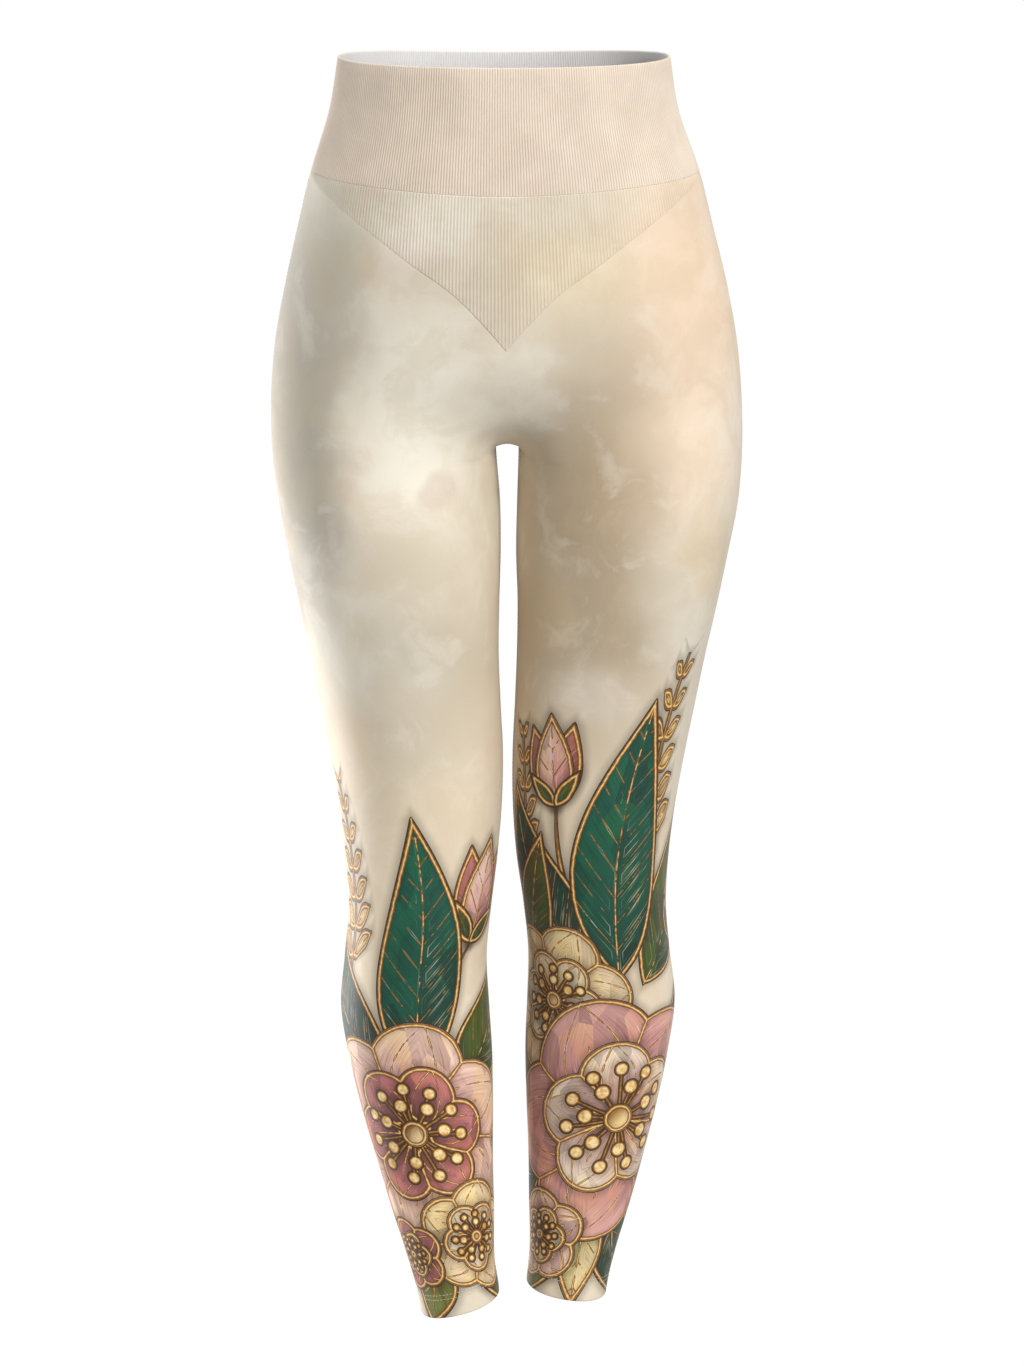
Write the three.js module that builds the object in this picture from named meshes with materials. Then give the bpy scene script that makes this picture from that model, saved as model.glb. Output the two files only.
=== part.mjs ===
// High-rise leggings, filled out as they hang from a wearer's waist with nobody in them.
// The body is a front and a back that meet down the sides and the inseams, with a narrow gusset under
// the crotch, a ribbed V-shaped yoke set into the front, and a deep ribbed waistband of doubled cloth.
// The hems are turned up inside. The front and the back are each built as two solids that meet on the
// centre line, one round each leg, so that collision can follow them closely.
// Millimetres, +Z up, the front faces -Y. The origin is the middle of the waist opening.
import * as THREE from "three";

// Driving dimensions
const RISE = 294; // waist opening down to the crotch
const OUTSEAM = 956; // waist opening down to the middle of a hem
const BAND_SIDE = 84.5; // depth of the waistband at the sides
const BAND_FRONT_EXTRA = 8; // how much deeper it is at the centre front
const BAND_BACK_EXTRA = 4;
const RIM_BACK_DROP = 6; // the back of the waist opening sags this far
const CLOTH = 1.4; // thickness of the single knit
const BAND_CLOTH = 2.4; // thickness of the doubled waistband
const HEM_CLOTH = 2.3; // thickness of a turned hem
const HEM_DEPTH = 20;
const HEM_SLOPE = 0.15; // the outer side of a hem hangs lower than its inner side
const STEP_HEM_SLOPE = 0.24; // the same for the leg that stands forward
const HEM_MIDDLE = 42; // how far out the middle of a hem is
const GAP = 0.3; // between pieces at a seam
const BAND_GAP = 0.42; // these three leave the same gap where the edges lean or slope
const YOKE_GAP = 0.5;
const GUSSET_GAP = 0.5;
const YOKE_END_GAP = 0.001; // at its ends, as a share of the way round

// Ribs. Each solid rib stands for two of the knit's own 1.95 mm ribs.
const BAND_RIBS = 180; // round the whole waistband
const YOKE_RIBS = 64; // across the yoke
const RIB_RELIEF = 0.5;

// How low the yoke's edge is, on the way from centre front (0) to the side (1)
const YOKE_EDGE = [
  { way: 0, z: -206.5 },
  { way: 0.06, z: -191 },
  { way: 0.17, z: -167 },
  { way: 0.335, z: -143 },
  { way: 0.494, z: -122 },
  { way: 0.72, z: -99 },
  { way: 0.9, z: -86.5 },
];

// The figure that the cloth is filled out to. out and inner are a leg's edges seen from the front,
// front and back are how far the cloth stands before and behind the waist's middle, and lean is how
// far the whole section stands towards +X.
const SECTIONS = [
  { z: 10, out: 121.5, inner: 8.7, front: 94.5, back: 94.5, lean: 0 },
  { z: 0, out: 123, inner: 8.7, front: 95.5, back: 95.5, lean: 0 },
  { z: -40, out: 129.6, inner: 8.7, front: 98, back: 100, lean: 0 },
  { z: -85, out: 144.3, inner: 8.7, front: 102, back: 109, lean: 0.8 },
  { z: -125, out: 154.2, inner: 8.7, front: 103, back: 121, lean: 1 },
  { z: -168, out: 164.4, inner: 8.7, front: 102, back: 131, lean: 1.5 },
  { z: -212, out: 172.6, inner: 8.7, front: 99, back: 135, lean: 1.5 },
  { z: -252, out: 176.2, inner: 8.7, front: 95, back: 131, lean: 1.7 },
  { z: -294, out: 176.6, inner: 8.7, front: 94, back: 119, lean: 2.3 },
  { z: -334, out: 173.2, inner: 6.6, front: 93, back: 106, lean: 3.3 },
  { z: -372, out: 166, inner: 5.9, front: 90.5, back: 96, lean: 3.2 },
  { z: -411, out: 158, inner: 7, front: 87, back: 89, lean: 3.2 },
  { z: -450, out: 149.8, inner: 7, front: 82, back: 83, lean: 2.7 },
  { z: -488, out: 142.2, inner: 5.6, front: 78, back: 77, lean: 2.7 },
  { z: -527, out: 134.6, inner: 3.8, front: 74, back: 71, lean: 2.7 },
  { z: -567, out: 127.9, inner: 4.3, front: 70, back: 64, lean: 2.3 },
  { z: -606, out: 123.4, inner: 7.3, front: 66, back: 57, lean: 2 },
  { z: -645, out: 121.2, inner: 12.3, front: 61, back: 56, lean: 2.4 },
  { z: -685, out: 124.4, inner: 16, front: 55, back: 61, lean: 2.5 },
  { z: -725, out: 128.2, inner: 14.7, front: 49, back: 67, lean: 3 },
  { z: -765, out: 123, inner: 12.8, front: 45, back: 67, lean: 3.5 },
  { z: -805, out: 114.4, inner: 13, front: 41, back: 61, lean: 4.2 },
  { z: -845, out: 103.7, inner: 13.8, front: 38, back: 53, lean: 4.9 },
  { z: -885, out: 92.4, inner: 13.6, front: 36, back: 46, lean: 5.6 },
  { z: -926, out: 80, inner: 13.6, front: 34, back: 41, lean: 6.1 },
  { z: -950, out: 74, inner: 10.6, front: 34, back: 40, lean: 6.6 },
  { z: -985, out: 69, inner: 9.6, front: 34, back: 40, lean: 7 },
];

// The fork, where the torso's one tube becomes two legs
const FORK_FRONT = 84; // height of the curve from the centre front round to the crotch
const FORK_BACK = 125;
const FORK_REACH = 0.09; // share of a half's way round that the curve draws in
const FORK_ROW_REACH = 0.18; // share over which the rows of the panels follow it
const FORK_WIDE_BY = 0.45; // how far round the curve the halves stand a gusset's width apart
const THIGH_FROM = 70; // above the crotch, where the thighs begin to part
const THIGH_TO = 70; // below it, where they are wholly round
const GUSSET_ARCH = 3; // rise of the gusset across its width
const GUSSET_FRONT = 6; // rows down the fork's curve at which the gusset starts
const GUSSET_BACK = 5;

// The stance: the -X leg stands forward
const STEP_FORWARD = 27;
const STEP_FROM = 300; // it leaves the other leg's line this far down
const STEP_CURVE = 1.2;
const STEP_DROP = 3; // its hem hangs this much lower

// How finely the solids are cut
const COLUMNS = 12; // from centre front to side, and from side to centre back
const CROWDING = 1.4; // above 1 they stand closer towards the fork and the inseam
const FORK_ROWS = 8;
const LEG_ROWS = 17;
const SEAT_ROWS = 4;
const BAND_ROWS = 3;
const BAND_PLAIN_COLUMNS = 60; // round the inside of the waistband
const STRIP_COLUMNS = [0, 0.5, 1]; // across half the strip under the fork, from its middle
const ARC_STEPS = 48;
const TINY = 1e-6;
const WELD = 0.005; // corners of one panel nearer than this are one
const ROUNDNESS = 2.15; // exponent of the sections' curves: 2 is an ellipse

const smooth = (from, to, v) => {
  const t = Math.min(1, Math.max(0, (v - from) / (to - from)));
  return t * t * (3 - 2 * t);
};

// One column of a table at any value of its key column, on a smooth curve through its rows
function along(table, key, column, at) {
  const rising = table[1][key] > table[0][key];
  const after = table.findIndex((row) => (rising ? row[key] > at : row[key] < at));
  const i = Math.min(table.length - 2, Math.max(0, after < 0 ? table.length - 2 : after - 1));
  const row = (n) => table[Math.min(table.length - 1, Math.max(0, n))];
  const slope = (p, q) => (q[column] - p[column]) / (q[key] - p[key]);
  const [a, b] = [row(i), row(i + 1)];
  const own = slope(a, b);
  const start = i > 0 ? (slope(row(i - 1), a) + own) / 2 : own;
  const end = i + 2 < table.length ? (own + slope(b, row(i + 2))) / 2 : own;
  const span = b[key] - a[key];
  const t = (at - a[key]) / span;
  const rise = t * t * (3 - 2 * t);
  const bend = span * (start * t * (1 - t) ** 2 - end * t * t * (1 - t));
  return a[column] + (b[column] - a[column]) * rise + bend;
}

// The point a share of the way along an arc, by its real length
function pointOnArc(arc, share) {
  const points = Array.from({ length: ARC_STEPS + 1 }, (_, i) => arc(i / ARC_STEPS));
  const lengths = [0];
  for (let i = 1; i <= ARC_STEPS; i++) {
    const [ax, ay] = points[i - 1];
    const [bx, by] = points[i];
    lengths.push(lengths[i - 1] + Math.hypot(bx - ax, by - ay));
  }
  const want = share * lengths[ARC_STEPS];
  let i = 1;
  while (i < ARC_STEPS && lengths[i] < want) i++;
  const t = (want - lengths[i - 1]) / (lengths[i] - lengths[i - 1]);
  return [0, 1].map((k) => points[i - 1][k] + t * (points[i][k] - points[i - 1][k]));
}

const power = (v) => Math.sign(v) * Math.abs(v) ** (2 / ROUNDNESS);

// Half of the torso's section, from centre front (share 0) past the side (0.5) to centre back (1)
function torsoPoint(share, z) {
  const out = along(SECTIONS, "z", "out", z);
  const back = share > 0.5;
  const depth = along(SECTIONS, "z", back ? "back" : "front", z);
  const arc = (t) => [out * power(Math.sin((t * Math.PI) / 2)), depth * power(Math.cos((t * Math.PI) / 2))];
  const [x, y] = pointOnArc(arc, back ? 2 - 2 * share : 2 * share);
  return [x, back ? y : -y];
}

// A leg's section, from the inseam round the front to the side and round the back to the inseam
function legPoint(share, z) {
  const out = along(SECTIONS, "z", "out", z);
  const inner = along(SECTIONS, "z", "inner", z);
  const front = along(SECTIONS, "z", "front", z);
  const back = along(SECTIONS, "z", "back", z);
  const halfWidth = (out - inner) / 2;
  const halfDepth = (front + back) / 2;
  const arc = (t) => [-halfWidth * power(Math.cos(t * Math.PI)), halfDepth * power(Math.sin(t * Math.PI))];
  const behind = share > 0.5;
  const [x, y] = pointOnArc(arc, behind ? 2 - 2 * share : 2 * share);
  return [(out + inner) / 2 + x, (back - front) / 2 + (behind ? y : -y)];
}

const leanAt = (z) => along(SECTIONS, "z", "lean", z);

// The cloth's outer face: side is 1 for the +X half and -1 for the other
function cloth(side, share, z) {
  const behind = share > 0.5;
  const fork = behind ? FORK_BACK : FORK_FRONT;
  const low = Math.min(1, Math.max(0, (fork - RISE - z) / fork));
  const curved = 1 - Math.sqrt(1 - low * low);
  const gentle = smooth(THIGH_FROM - RISE, -THIGH_TO - RISE, z);
  const near = Math.exp(-((Math.min(share, 1 - share) / FORK_REACH) ** 2));
  const parted = gentle + (curved - gentle) * near;
  const [tx, ty] = torsoPoint(share, z);
  const [lx, ly] = legPoint(share, z);
  const widened = along(SECTIONS, "z", "inner", z) * (smooth(0, FORK_WIDE_BY, curved) - curved) * near;
  const down = Math.max(0, (-z - STEP_FROM) / (OUTSEAM - STEP_FROM));
  const stepped = side < 0 ? STEP_FORWARD * down ** STEP_CURVE : 0;
  const x = (1 - parted) * tx + parted * lx + widened;
  return new THREE.Vector3(
    side * (x < TINY ? 0 : x) + leanAt(z),
    (1 - parted) * ty + parted * ly - stepped,
    z,
  );
}

// The direction out of the cloth there
function outward(side, share, z) {
  const step = 0.004;
  const rise = 1;
  const a = Math.max(0, share - step);
  const b = Math.min(1, share + step);
  const round = cloth(side, b, z).sub(cloth(side, a, z));
  const down = cloth(side, share, z - rise).sub(cloth(side, share, z + rise));
  const n = down.cross(round).multiplyScalar(side);
  if (Math.abs(cloth(side, share, z).x - leanAt(z)) < TINY) n.x = 0;
  return n.normalize();
}

// Shares of the way round for the columns of half a panel, from its middle out to the side
const columnWay = Array.from({ length: COLUMNS + 1 }, (_, c) => (c / COLUMNS) ** CROWDING);
const YOKE_END = columnWay[COLUMNS - 1];

// A seam's height on the way from the middle to the side. It runs straight between the panels'
// columns, so that the pieces on both sides of it meet all along.
function seamHeight(way, heightAt) {
  const i = Math.max(1, columnWay.findIndex((w) => w >= way - TINY));
  const [a, b] = [columnWay[i - 1], columnWay[i]];
  return heightAt(a) + ((way - a) / (b - a)) * (heightAt(b) - heightAt(a));
}

const rimHeight = (share) => -RIM_BACK_DROP * smooth(0.5, 1, share);
function bandSeam(share) {
  const extra = share > 0.5 ? BAND_BACK_EXTRA : BAND_FRONT_EXTRA;
  const way = 2 * Math.min(share, 1 - share);
  return seamHeight(way, (w) => -BAND_SIDE - extra * (1 - smooth(0, 1, w)));
}
function yokeEdge(share) {
  return seamHeight(Math.min(YOKE_END, 2 * share), (w) => along(YOKE_EDGE, "way", "z", w));
}
function hemHeight(side, share) {
  const out = legPoint(share, -OUTSEAM)[0];
  return side < 0
    ? -OUTSEAM - STEP_HEM_SLOPE * (out - HEM_MIDDLE) - STEP_DROP
    : -OUTSEAM - HEM_SLOPE * (out - HEM_MIDDLE);
}

const corner = (point, normal, thick) => ({ point, normal, thick });

// A panel's solid: grids of corners are welded where their outer points agree, the inner face lies a
// cloth's thickness behind them, and a wall closes every free edge.
function panelGeometry(grids) {
  const found = new Map();
  const corners = [];
  const idOf = ({ point, normal, thick }) => {
    const key = [point.x, point.y, point.z].map((v) => Math.round(v / WELD)).join();
    if (!found.has(key)) {
      found.set(key, corners.length);
      corners.push({ point, normal: new THREE.Vector3(), thick });
    }
    const id = found.get(key);
    corners[id].normal.add(normal);
    return id;
  };
  const faces = [];
  for (const { rows, flipped } of grids) {
    const ids = rows.map((row) => row.map(idOf));
    for (let r = 0; r + 1 < ids.length; r++) {
      for (let c = 0; c + 1 < ids[r].length; c++) {
        const quad = [ids[r][c], ids[r + 1][c], ids[r + 1][c + 1], ids[r][c + 1]];
        if (flipped) quad.reverse();
        faces.push([quad[0], quad[1], quad[2]], [quad[0], quad[2], quad[3]]);
      }
    }
  }
  const real = faces.filter(([a, b, c]) => a !== b && b !== c && a !== c);
  const edges = new Set();
  for (const [a, b, c] of real) [[a, b], [b, c], [c, a]].forEach(([p, q]) => edges.add(p + "," + q));
  const inner = (id) => id + corners.length;
  const triangles = [];
  // Walls that face each other across a seam are split along the same diagonal
  const wall = (p, q) =>
    corners[p].point.y < corners[q].point.y
      ? [[q, p, inner(p)], [q, inner(p), inner(q)]]
      : [[q, p, inner(q)], [p, inner(p), inner(q)]];
  for (const [a, b, c] of real) {
    triangles.push([a, b, c], [inner(c), inner(b), inner(a)]);
    for (const [p, q] of [[a, b], [b, c], [c, a]]) {
      if (!edges.has(q + "," + p)) triangles.push(...wall(p, q));
    }
  }
  const points = corners.map(({ point }) => point);
  const behind = corners.map(({ point, normal, thick }) =>
    point.clone().addScaledVector(normal.normalize(), -thick),
  );
  return geometryOf([...points, ...behind], triangles);
}

function geometryOf(points, triangles) {
  const geometry = new THREE.BufferGeometry();
  const places = points.flatMap((p) => [p.x, p.y, p.z]);
  geometry.setAttribute("position", new THREE.Float32BufferAttribute(places, 3));
  geometry.setIndex(triangles.flat());
  geometry.computeVertexNormals();
  return geometry;
}

// A ribbed wall: a fine outer grid over a plainer inner one, joined all round its edges. Each is a
// list of rows, and ways are the places of its columns; a closed wall's last place is its first again.
function ribbedGeometry(outer, inner, closed) {
  const wide = (skin) => skin.rows[0].length;
  const points = [...outer.rows.flat(), ...inner.rows.flat()];
  const first = outer.rows.length * wide(outer);
  const outerId = (r, c) => r * wide(outer) + (c % wide(outer));
  const innerId = (r, c) => first + r * wide(inner) + (c % wide(inner));
  const triangles = [];
  const cover = (skin, id, turned) => {
    for (let r = 0; r + 1 < skin.rows.length; r++) {
      for (let c = 0; c + 1 < skin.ways.length; c++) {
        const quad = [id(r, c), id(r + 1, c), id(r + 1, c + 1), id(r, c + 1)];
        if (turned) quad.reverse();
        triangles.push([quad[0], quad[1], quad[2]], [quad[0], quad[2], quad[3]]);
      }
    }
  };
  cover(outer, outerId, false);
  cover(inner, innerId, true);
  // A strip between two edges, which steps along whichever has the nearer next point
  const strip = (a, b, turned) => {
    let i = 0;
    let j = 0;
    while (i + 1 < a.length || j + 1 < b.length) {
      const onA = j + 1 >= b.length || (i + 1 < a.length && a[i + 1].way <= b[j + 1].way);
      const face = onA ? [a[i].id, a[i + 1].id, b[j].id] : [a[i].id, b[j + 1].id, b[j].id];
      triangles.push(turned ? face.reverse() : face);
      if (onA) i++;
      else j++;
    }
  };
  const across = (rowOuter, rowInner, turned) => {
    const a = outer.ways.map((way, c) => ({ way, id: outerId(rowOuter, c) }));
    const b = inner.ways.map((way, c) => ({ way, id: innerId(rowInner, c) }));
    strip(a, b, turned);
  };
  across(0, 0, false);
  across(outer.rows.length - 1, inner.rows.length - 1, true);
  if (!closed) {
    const down = (columnOuter, columnInner, turned) => {
      const a = outer.rows.map((_, r) => ({ way: r, id: outerId(r, columnOuter) }));
      const b = inner.rows.map((_, r) => ({ way: r, id: innerId(r, columnInner) }));
      strip(a, b, turned);
    };
    down(0, 0, true);
    down(wide(outer) - 1, wide(inner) - 1, false);
  }
  return geometryOf(points, triangles);
}

// The cloth at a place round the waist, from -1 at centre back past 0 at centre front to 1 at centre
// back, moved away from its outer face
function offCloth(turn, z, away) {
  const side = turn < 0 ? -1 : 1;
  const share = Math.abs(turn);
  return cloth(side, share, z).addScaledVector(outward(side, share, z), away);
}

// One face of a ribbed piece, between two edges whose heights are known at each place
function bandFace(turns, topAt, bottomAt, awayAt, closed) {
  const rows = Array.from({ length: BAND_ROWS + 1 }, (_, r) =>
    (closed ? turns.slice(0, -1) : turns).map((turn, c) => {
      const top = topAt(Math.abs(turn));
      return offCloth(turn, top + (r / BAND_ROWS) * (bottomAt(Math.abs(turn)) - top), awayAt(c));
    }),
  );
  return { rows, ways: turns };
}

const evenTurns = (end, count) => Array.from({ length: count + 1 }, (_, c) => end * ((2 * c) / count - 1));
const ribHeight = (c) => (c % 2 ? -RIB_RELIEF : 0);

function waistband() {
  const bottom = (share) => bandSeam(share) + BAND_GAP;
  const face = (count, awayAt) => bandFace(evenTurns(1, count), rimHeight, bottom, awayAt, true);
  return ribbedGeometry(face(2 * BAND_RIBS, ribHeight), face(BAND_PLAIN_COLUMNS, () => -BAND_CLOTH), true);
}

function ribYoke() {
  const bottom = (share) => yokeEdge(share) + YOKE_GAP;
  const face = (turns, awayAt) => bandFace(turns, bandSeam, bottom, awayAt, false);
  const end = YOKE_END / 2 - YOKE_END_GAP;
  const half = columnWay.slice(1, COLUMNS).map((way) => Math.min(end, way / 2));
  const knots = [...half.map((turn) => -turn).reverse(), 0, ...half];
  const ribs = evenTurns(end, 2 * YOKE_RIBS);
  return ribbedGeometry(face(ribs, ribHeight), face(knots, () => -CLOTH), false);
}

// A point kept half a gap off the centre line, where the two solids of a panel meet
function offCentre(side, point) {
  const x = leanAt(point.z);
  point.x = x + side * Math.max(GAP / 2, side * (point.x - x));
  return point;
}

// Half the seam gap, as a share of a half's way round at that height
function gapShare(side, z) {
  const step = 0.002;
  return ((GAP / 2) * step) / cloth(side, 0.5, z).distanceTo(cloth(side, 0.5 + step, z));
}

// Heights of half a panel's rows at one share, from its top edge to its hem. By the fork they follow
// its curve, and at the side they are even, where the front and the back have them alike.
function rowHeights(side, share, top, fork) {
  const near = Math.exp(-((Math.min(share, 1 - share) / FORK_ROW_REACH) ** 2));
  const above = SEAT_ROWS + FORK_ROWS;
  const heights = [];
  for (let r = 0; r < above; r++) {
    const even = top + (r / above) * (-RISE - top);
    const seat = top + (r / SEAT_ROWS) * (fork - RISE - top);
    const forked = r < SEAT_ROWS ? seat : forkHeight(fork, r - SEAT_ROWS);
    heights.push(even + near * (forked - even));
  }
  const hem = hemHeight(side, share);
  const fold = hem + HEM_DEPTH;
  for (let r = 0; r < LEG_ROWS; r++) heights.push((r / LEG_ROWS) * (fold + 1 + RISE) - RISE);
  return [...heights, fold + 1, fold, (fold + hem) / 2, hem];
}

const forkHeight = (fork, row) => fork - RISE - fork * Math.sin(((row / FORK_ROWS) * Math.PI) / 2);

// How far a row of the fork's curve has turned from the centre line towards the crotch, 0 to 1
const turnedAt = (row) => 1 - Math.cos(((row / FORK_ROWS) * Math.PI) / 2);

// The way out of the strip under the fork, at one row of its curve and q of the way across it
function forkOutward(behind, row, q) {
  const angle = ((row / FORK_ROWS) * Math.PI) / 2;
  const y = (behind ? 1 : -1) * Math.cos(angle);
  return new THREE.Vector3(-q * turnedAt(row), y, -Math.sin(angle)).normalize();
}

// The normal where a half meets the strip, shared by both so that their walls are mitred
function forkSeamNormal(side, behind, row) {
  const z = forkHeight(behind ? FORK_BACK : FORK_FRONT, row);
  return outward(side, behind ? 1 : 0, z).add(forkOutward(behind, row, side)).normalize();
}

// One half of the front or the back, as a grid of corners
function halfPanel(side, behind) {
  const fork = behind ? FORK_BACK : FORK_FRONT;
  const columns = columnWay.map((way, c) => {
    const share = behind ? 1 - way / 2 : way / 2;
    const top = !behind && c < COLUMNS ? yokeEdge(share) : bandSeam(share);
    return rowHeights(side, share, top, fork).map((z, r, heights) => {
      const gap = gapShare(side, z) * (behind ? 1 : -1);
      const row = r - SEAT_ROWS;
      let at = share;
      if (c === COLUMNS) at += gap;
      if (c === 0 && row >= FORK_ROWS) at -= gap;
      const mitred = c === 0 && row > 0 && row <= FORK_ROWS;
      const normal = mitred ? forkSeamNormal(side, behind, row) : outward(side, at, z);
      const thick = r >= heights.length - 3 ? HEM_CLOTH : CLOTH;
      return corner(offCentre(side, cloth(side, at, z)), normal, thick);
    });
  });
  const rows = columns[0].map((_, r) => columns.map((column) => column[r]));
  return { rows, flipped: side < 0 !== behind };
}

// The strip between the halves under the fork, at one row of its curve and q of the way across it,
// drawn in at both sides by trim
function forkCorner(behind, row, q, trim) {
  const z = forkHeight(behind ? FORK_BACK : FORK_FRONT, row);
  const edge = cloth(1, behind ? 1 : 0, z);
  const half = Math.max(0, edge.x - leanAt(z) - trim);
  const point = new THREE.Vector3(leanAt(z) + q * half, edge.y, edge.z);
  point.addScaledVector(forkOutward(behind, row, 0), -GUSSET_ARCH * turnedAt(row) * (1 - q * q));
  const normal = Math.abs(q) === 1 ? forkSeamNormal(q, behind, row) : forkOutward(behind, row, q);
  return corner(point, normal, CLOTH);
}

// Rows of the fork's curve from one to another
const fromTo = (from, to) => Array.from({ length: Math.floor(to - from + 1) }, (_, i) => from + i);

// One solid of the front or the back, with its half of the strip down to the gusset
function panel(side, behind) {
  const strip = fromTo(0, behind ? GUSSET_BACK : GUSSET_FRONT).map((row) =>
    STRIP_COLUMNS.map((q) => {
      const at = forkCorner(behind, row, side * q, 0);
      return corner(offCentre(side, at.point), at.normal, at.thick);
    }),
  );
  return panelGeometry([halfPanel(side, behind), { rows: strip, flipped: side < 0 !== behind }]);
}

function gusset() {
  const across = [...STRIP_COLUMNS.slice(1).reverse().map((q) => -q), ...STRIP_COLUMNS];
  const rows = (behind, start) => {
    const [a, b] = [start, start + 1].map((row) => forkCorner(behind, row, 0, 0).point);
    const all = [start + GAP / a.distanceTo(b), ...fromTo(start + 1, FORK_ROWS)];
    return all.map((row) => across.map((q) => forkCorner(behind, row, q, GUSSET_GAP)));
  };
  const back = rows(true, GUSSET_BACK).slice(0, -1).reverse();
  return panelGeometry([{ rows: [...rows(false, GUSSET_FRONT), ...back], flipped: false }]);
}

const PRINTED = { color: 0xe3d8c4, roughness: 0.75, metalness: 0 };
const RIBBED = { color: 0xe6d6c3, roughness: 0.8, metalness: 0 };

const leggings = new THREE.Group();
const pieces = [
  ["waistband", waistband(), RIBBED],
  ["rib_yoke", ribYoke(), RIBBED],
  ["front_left", panel(1, false), PRINTED],
  ["front_right", panel(-1, false), PRINTED],
  ["back_left", panel(1, true), PRINTED],
  ["back_right", panel(-1, true), PRINTED],
  ["gusset", gusset(), PRINTED],
];
for (const [name, geometry, finish] of pieces) {
  const mesh = new THREE.Mesh(geometry, new THREE.MeshStandardMaterial(finish));
  mesh.name = name;
  leggings.add(mesh);
}

export default leggings;
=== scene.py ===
"""High-rise leggings, filled out as they hang from a wearer's waist with nobody in them.

The rib knit of the waistband and the yoke, the printed jersey of the front, the back and the gusset,
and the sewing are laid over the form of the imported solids. Sizes are in millimetres until a point is
placed in a mesh.
"""

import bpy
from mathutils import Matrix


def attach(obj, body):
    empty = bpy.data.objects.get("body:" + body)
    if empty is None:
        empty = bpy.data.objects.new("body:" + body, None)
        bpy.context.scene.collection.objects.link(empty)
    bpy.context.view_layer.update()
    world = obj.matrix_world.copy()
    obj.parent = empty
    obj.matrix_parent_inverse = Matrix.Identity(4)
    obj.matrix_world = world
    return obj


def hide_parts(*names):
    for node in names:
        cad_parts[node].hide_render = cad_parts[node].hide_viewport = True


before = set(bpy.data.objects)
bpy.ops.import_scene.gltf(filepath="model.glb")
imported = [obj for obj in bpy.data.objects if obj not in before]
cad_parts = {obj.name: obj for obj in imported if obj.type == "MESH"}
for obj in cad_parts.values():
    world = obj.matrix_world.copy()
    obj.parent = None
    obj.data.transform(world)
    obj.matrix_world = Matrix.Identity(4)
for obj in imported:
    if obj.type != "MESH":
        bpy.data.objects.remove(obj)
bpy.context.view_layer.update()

import logging
import math
from dataclasses import dataclass
from enum import Enum
from typing import Callable, NamedTuple, Optional, Sequence, Union

import bmesh
import bpy
import numpy as np
from mathutils import Matrix, Vector

logging.basicConfig(level=logging.INFO, format="%(message)s")
LOG = logging.getLogger("leggings")
MM = 0.001
Rgb = tuple[float, float, float]
Socket = bpy.types.NodeSocket
Value = Union[float, Socket, "Number"]


class Side(Enum):
    """Which half of the body, by the wearer's own left and right."""

    LEFT = 1
    RIGHT = -1


class Face(Enum):
    """Which of the two body panels."""

    FRONT = "front"
    BACK = "back"


class Section(NamedTuple):
    """One level of the figure: a leg's edges seen from the front, its reach and its lean."""

    z: float
    out: float
    inner: float
    front: float
    back: float
    lean: float


SECTIONS = (
    Section(10, 121.5, 8.7, 94.5, 94.5, 0),
    Section(0, 123, 8.7, 95.5, 95.5, 0),
    Section(-40, 129.6, 8.7, 98, 100, 0),
    Section(-85, 144.3, 8.7, 102, 109, 0.8),
    Section(-125, 154.2, 8.7, 103, 121, 1),
    Section(-168, 164.4, 8.7, 102, 131, 1.5),
    Section(-212, 172.6, 8.7, 99, 135, 1.5),
    Section(-252, 176.2, 8.7, 95, 131, 1.7),
    Section(-294, 176.6, 8.7, 94, 119, 2.3),
    Section(-334, 173.2, 6.6, 93, 106, 3.3),
    Section(-372, 166, 5.9, 90.5, 96, 3.2),
    Section(-411, 158, 7, 87, 89, 3.2),
    Section(-450, 149.8, 7, 82, 83, 2.7),
    Section(-488, 142.2, 5.6, 78, 77, 2.7),
    Section(-527, 134.6, 3.8, 74, 71, 2.7),
    Section(-567, 127.9, 4.3, 70, 64, 2.3),
    Section(-606, 123.4, 7.3, 66, 57, 2),
    Section(-645, 121.2, 12.3, 61, 56, 2.4),
    Section(-685, 124.4, 16, 55, 61, 2.5),
    Section(-725, 128.2, 14.7, 49, 67, 3),
    Section(-765, 123, 12.8, 45, 67, 3.5),
    Section(-805, 114.4, 13, 41, 61, 4.2),
    Section(-845, 103.7, 13.8, 38, 53, 4.9),
    Section(-885, 92.4, 13.6, 36, 46, 5.6),
    Section(-926, 80, 13.6, 34, 41, 6.1),
    Section(-950, 74, 10.6, 34, 40, 6.6),
    Section(-985, 69, 9.6, 34, 40, 7),
)


class Edge(NamedTuple):
    """How low the yoke's edge is, on the way from centre front (0) to the side (1)."""

    way: float
    z: float


YOKE_EDGE = (
    Edge(0, -206.5),
    Edge(0.06, -191),
    Edge(0.17, -167),
    Edge(0.335, -143),
    Edge(0.494, -122),
    Edge(0.72, -99),
    Edge(0.9, -86.5),
)


def smooth(start: float, end: float, value: np.ndarray) -> np.ndarray:
    """Rise softly from 0 at start to 1 at end."""
    t = np.clip((value - start) / (end - start), 0, 1)
    return t * t * (3 - 2 * t)


def bell(distance: np.ndarray, reach: float) -> np.ndarray:
    """Fall off softly from 1 at no distance."""
    return np.exp(-((distance / reach) ** 2))


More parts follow.
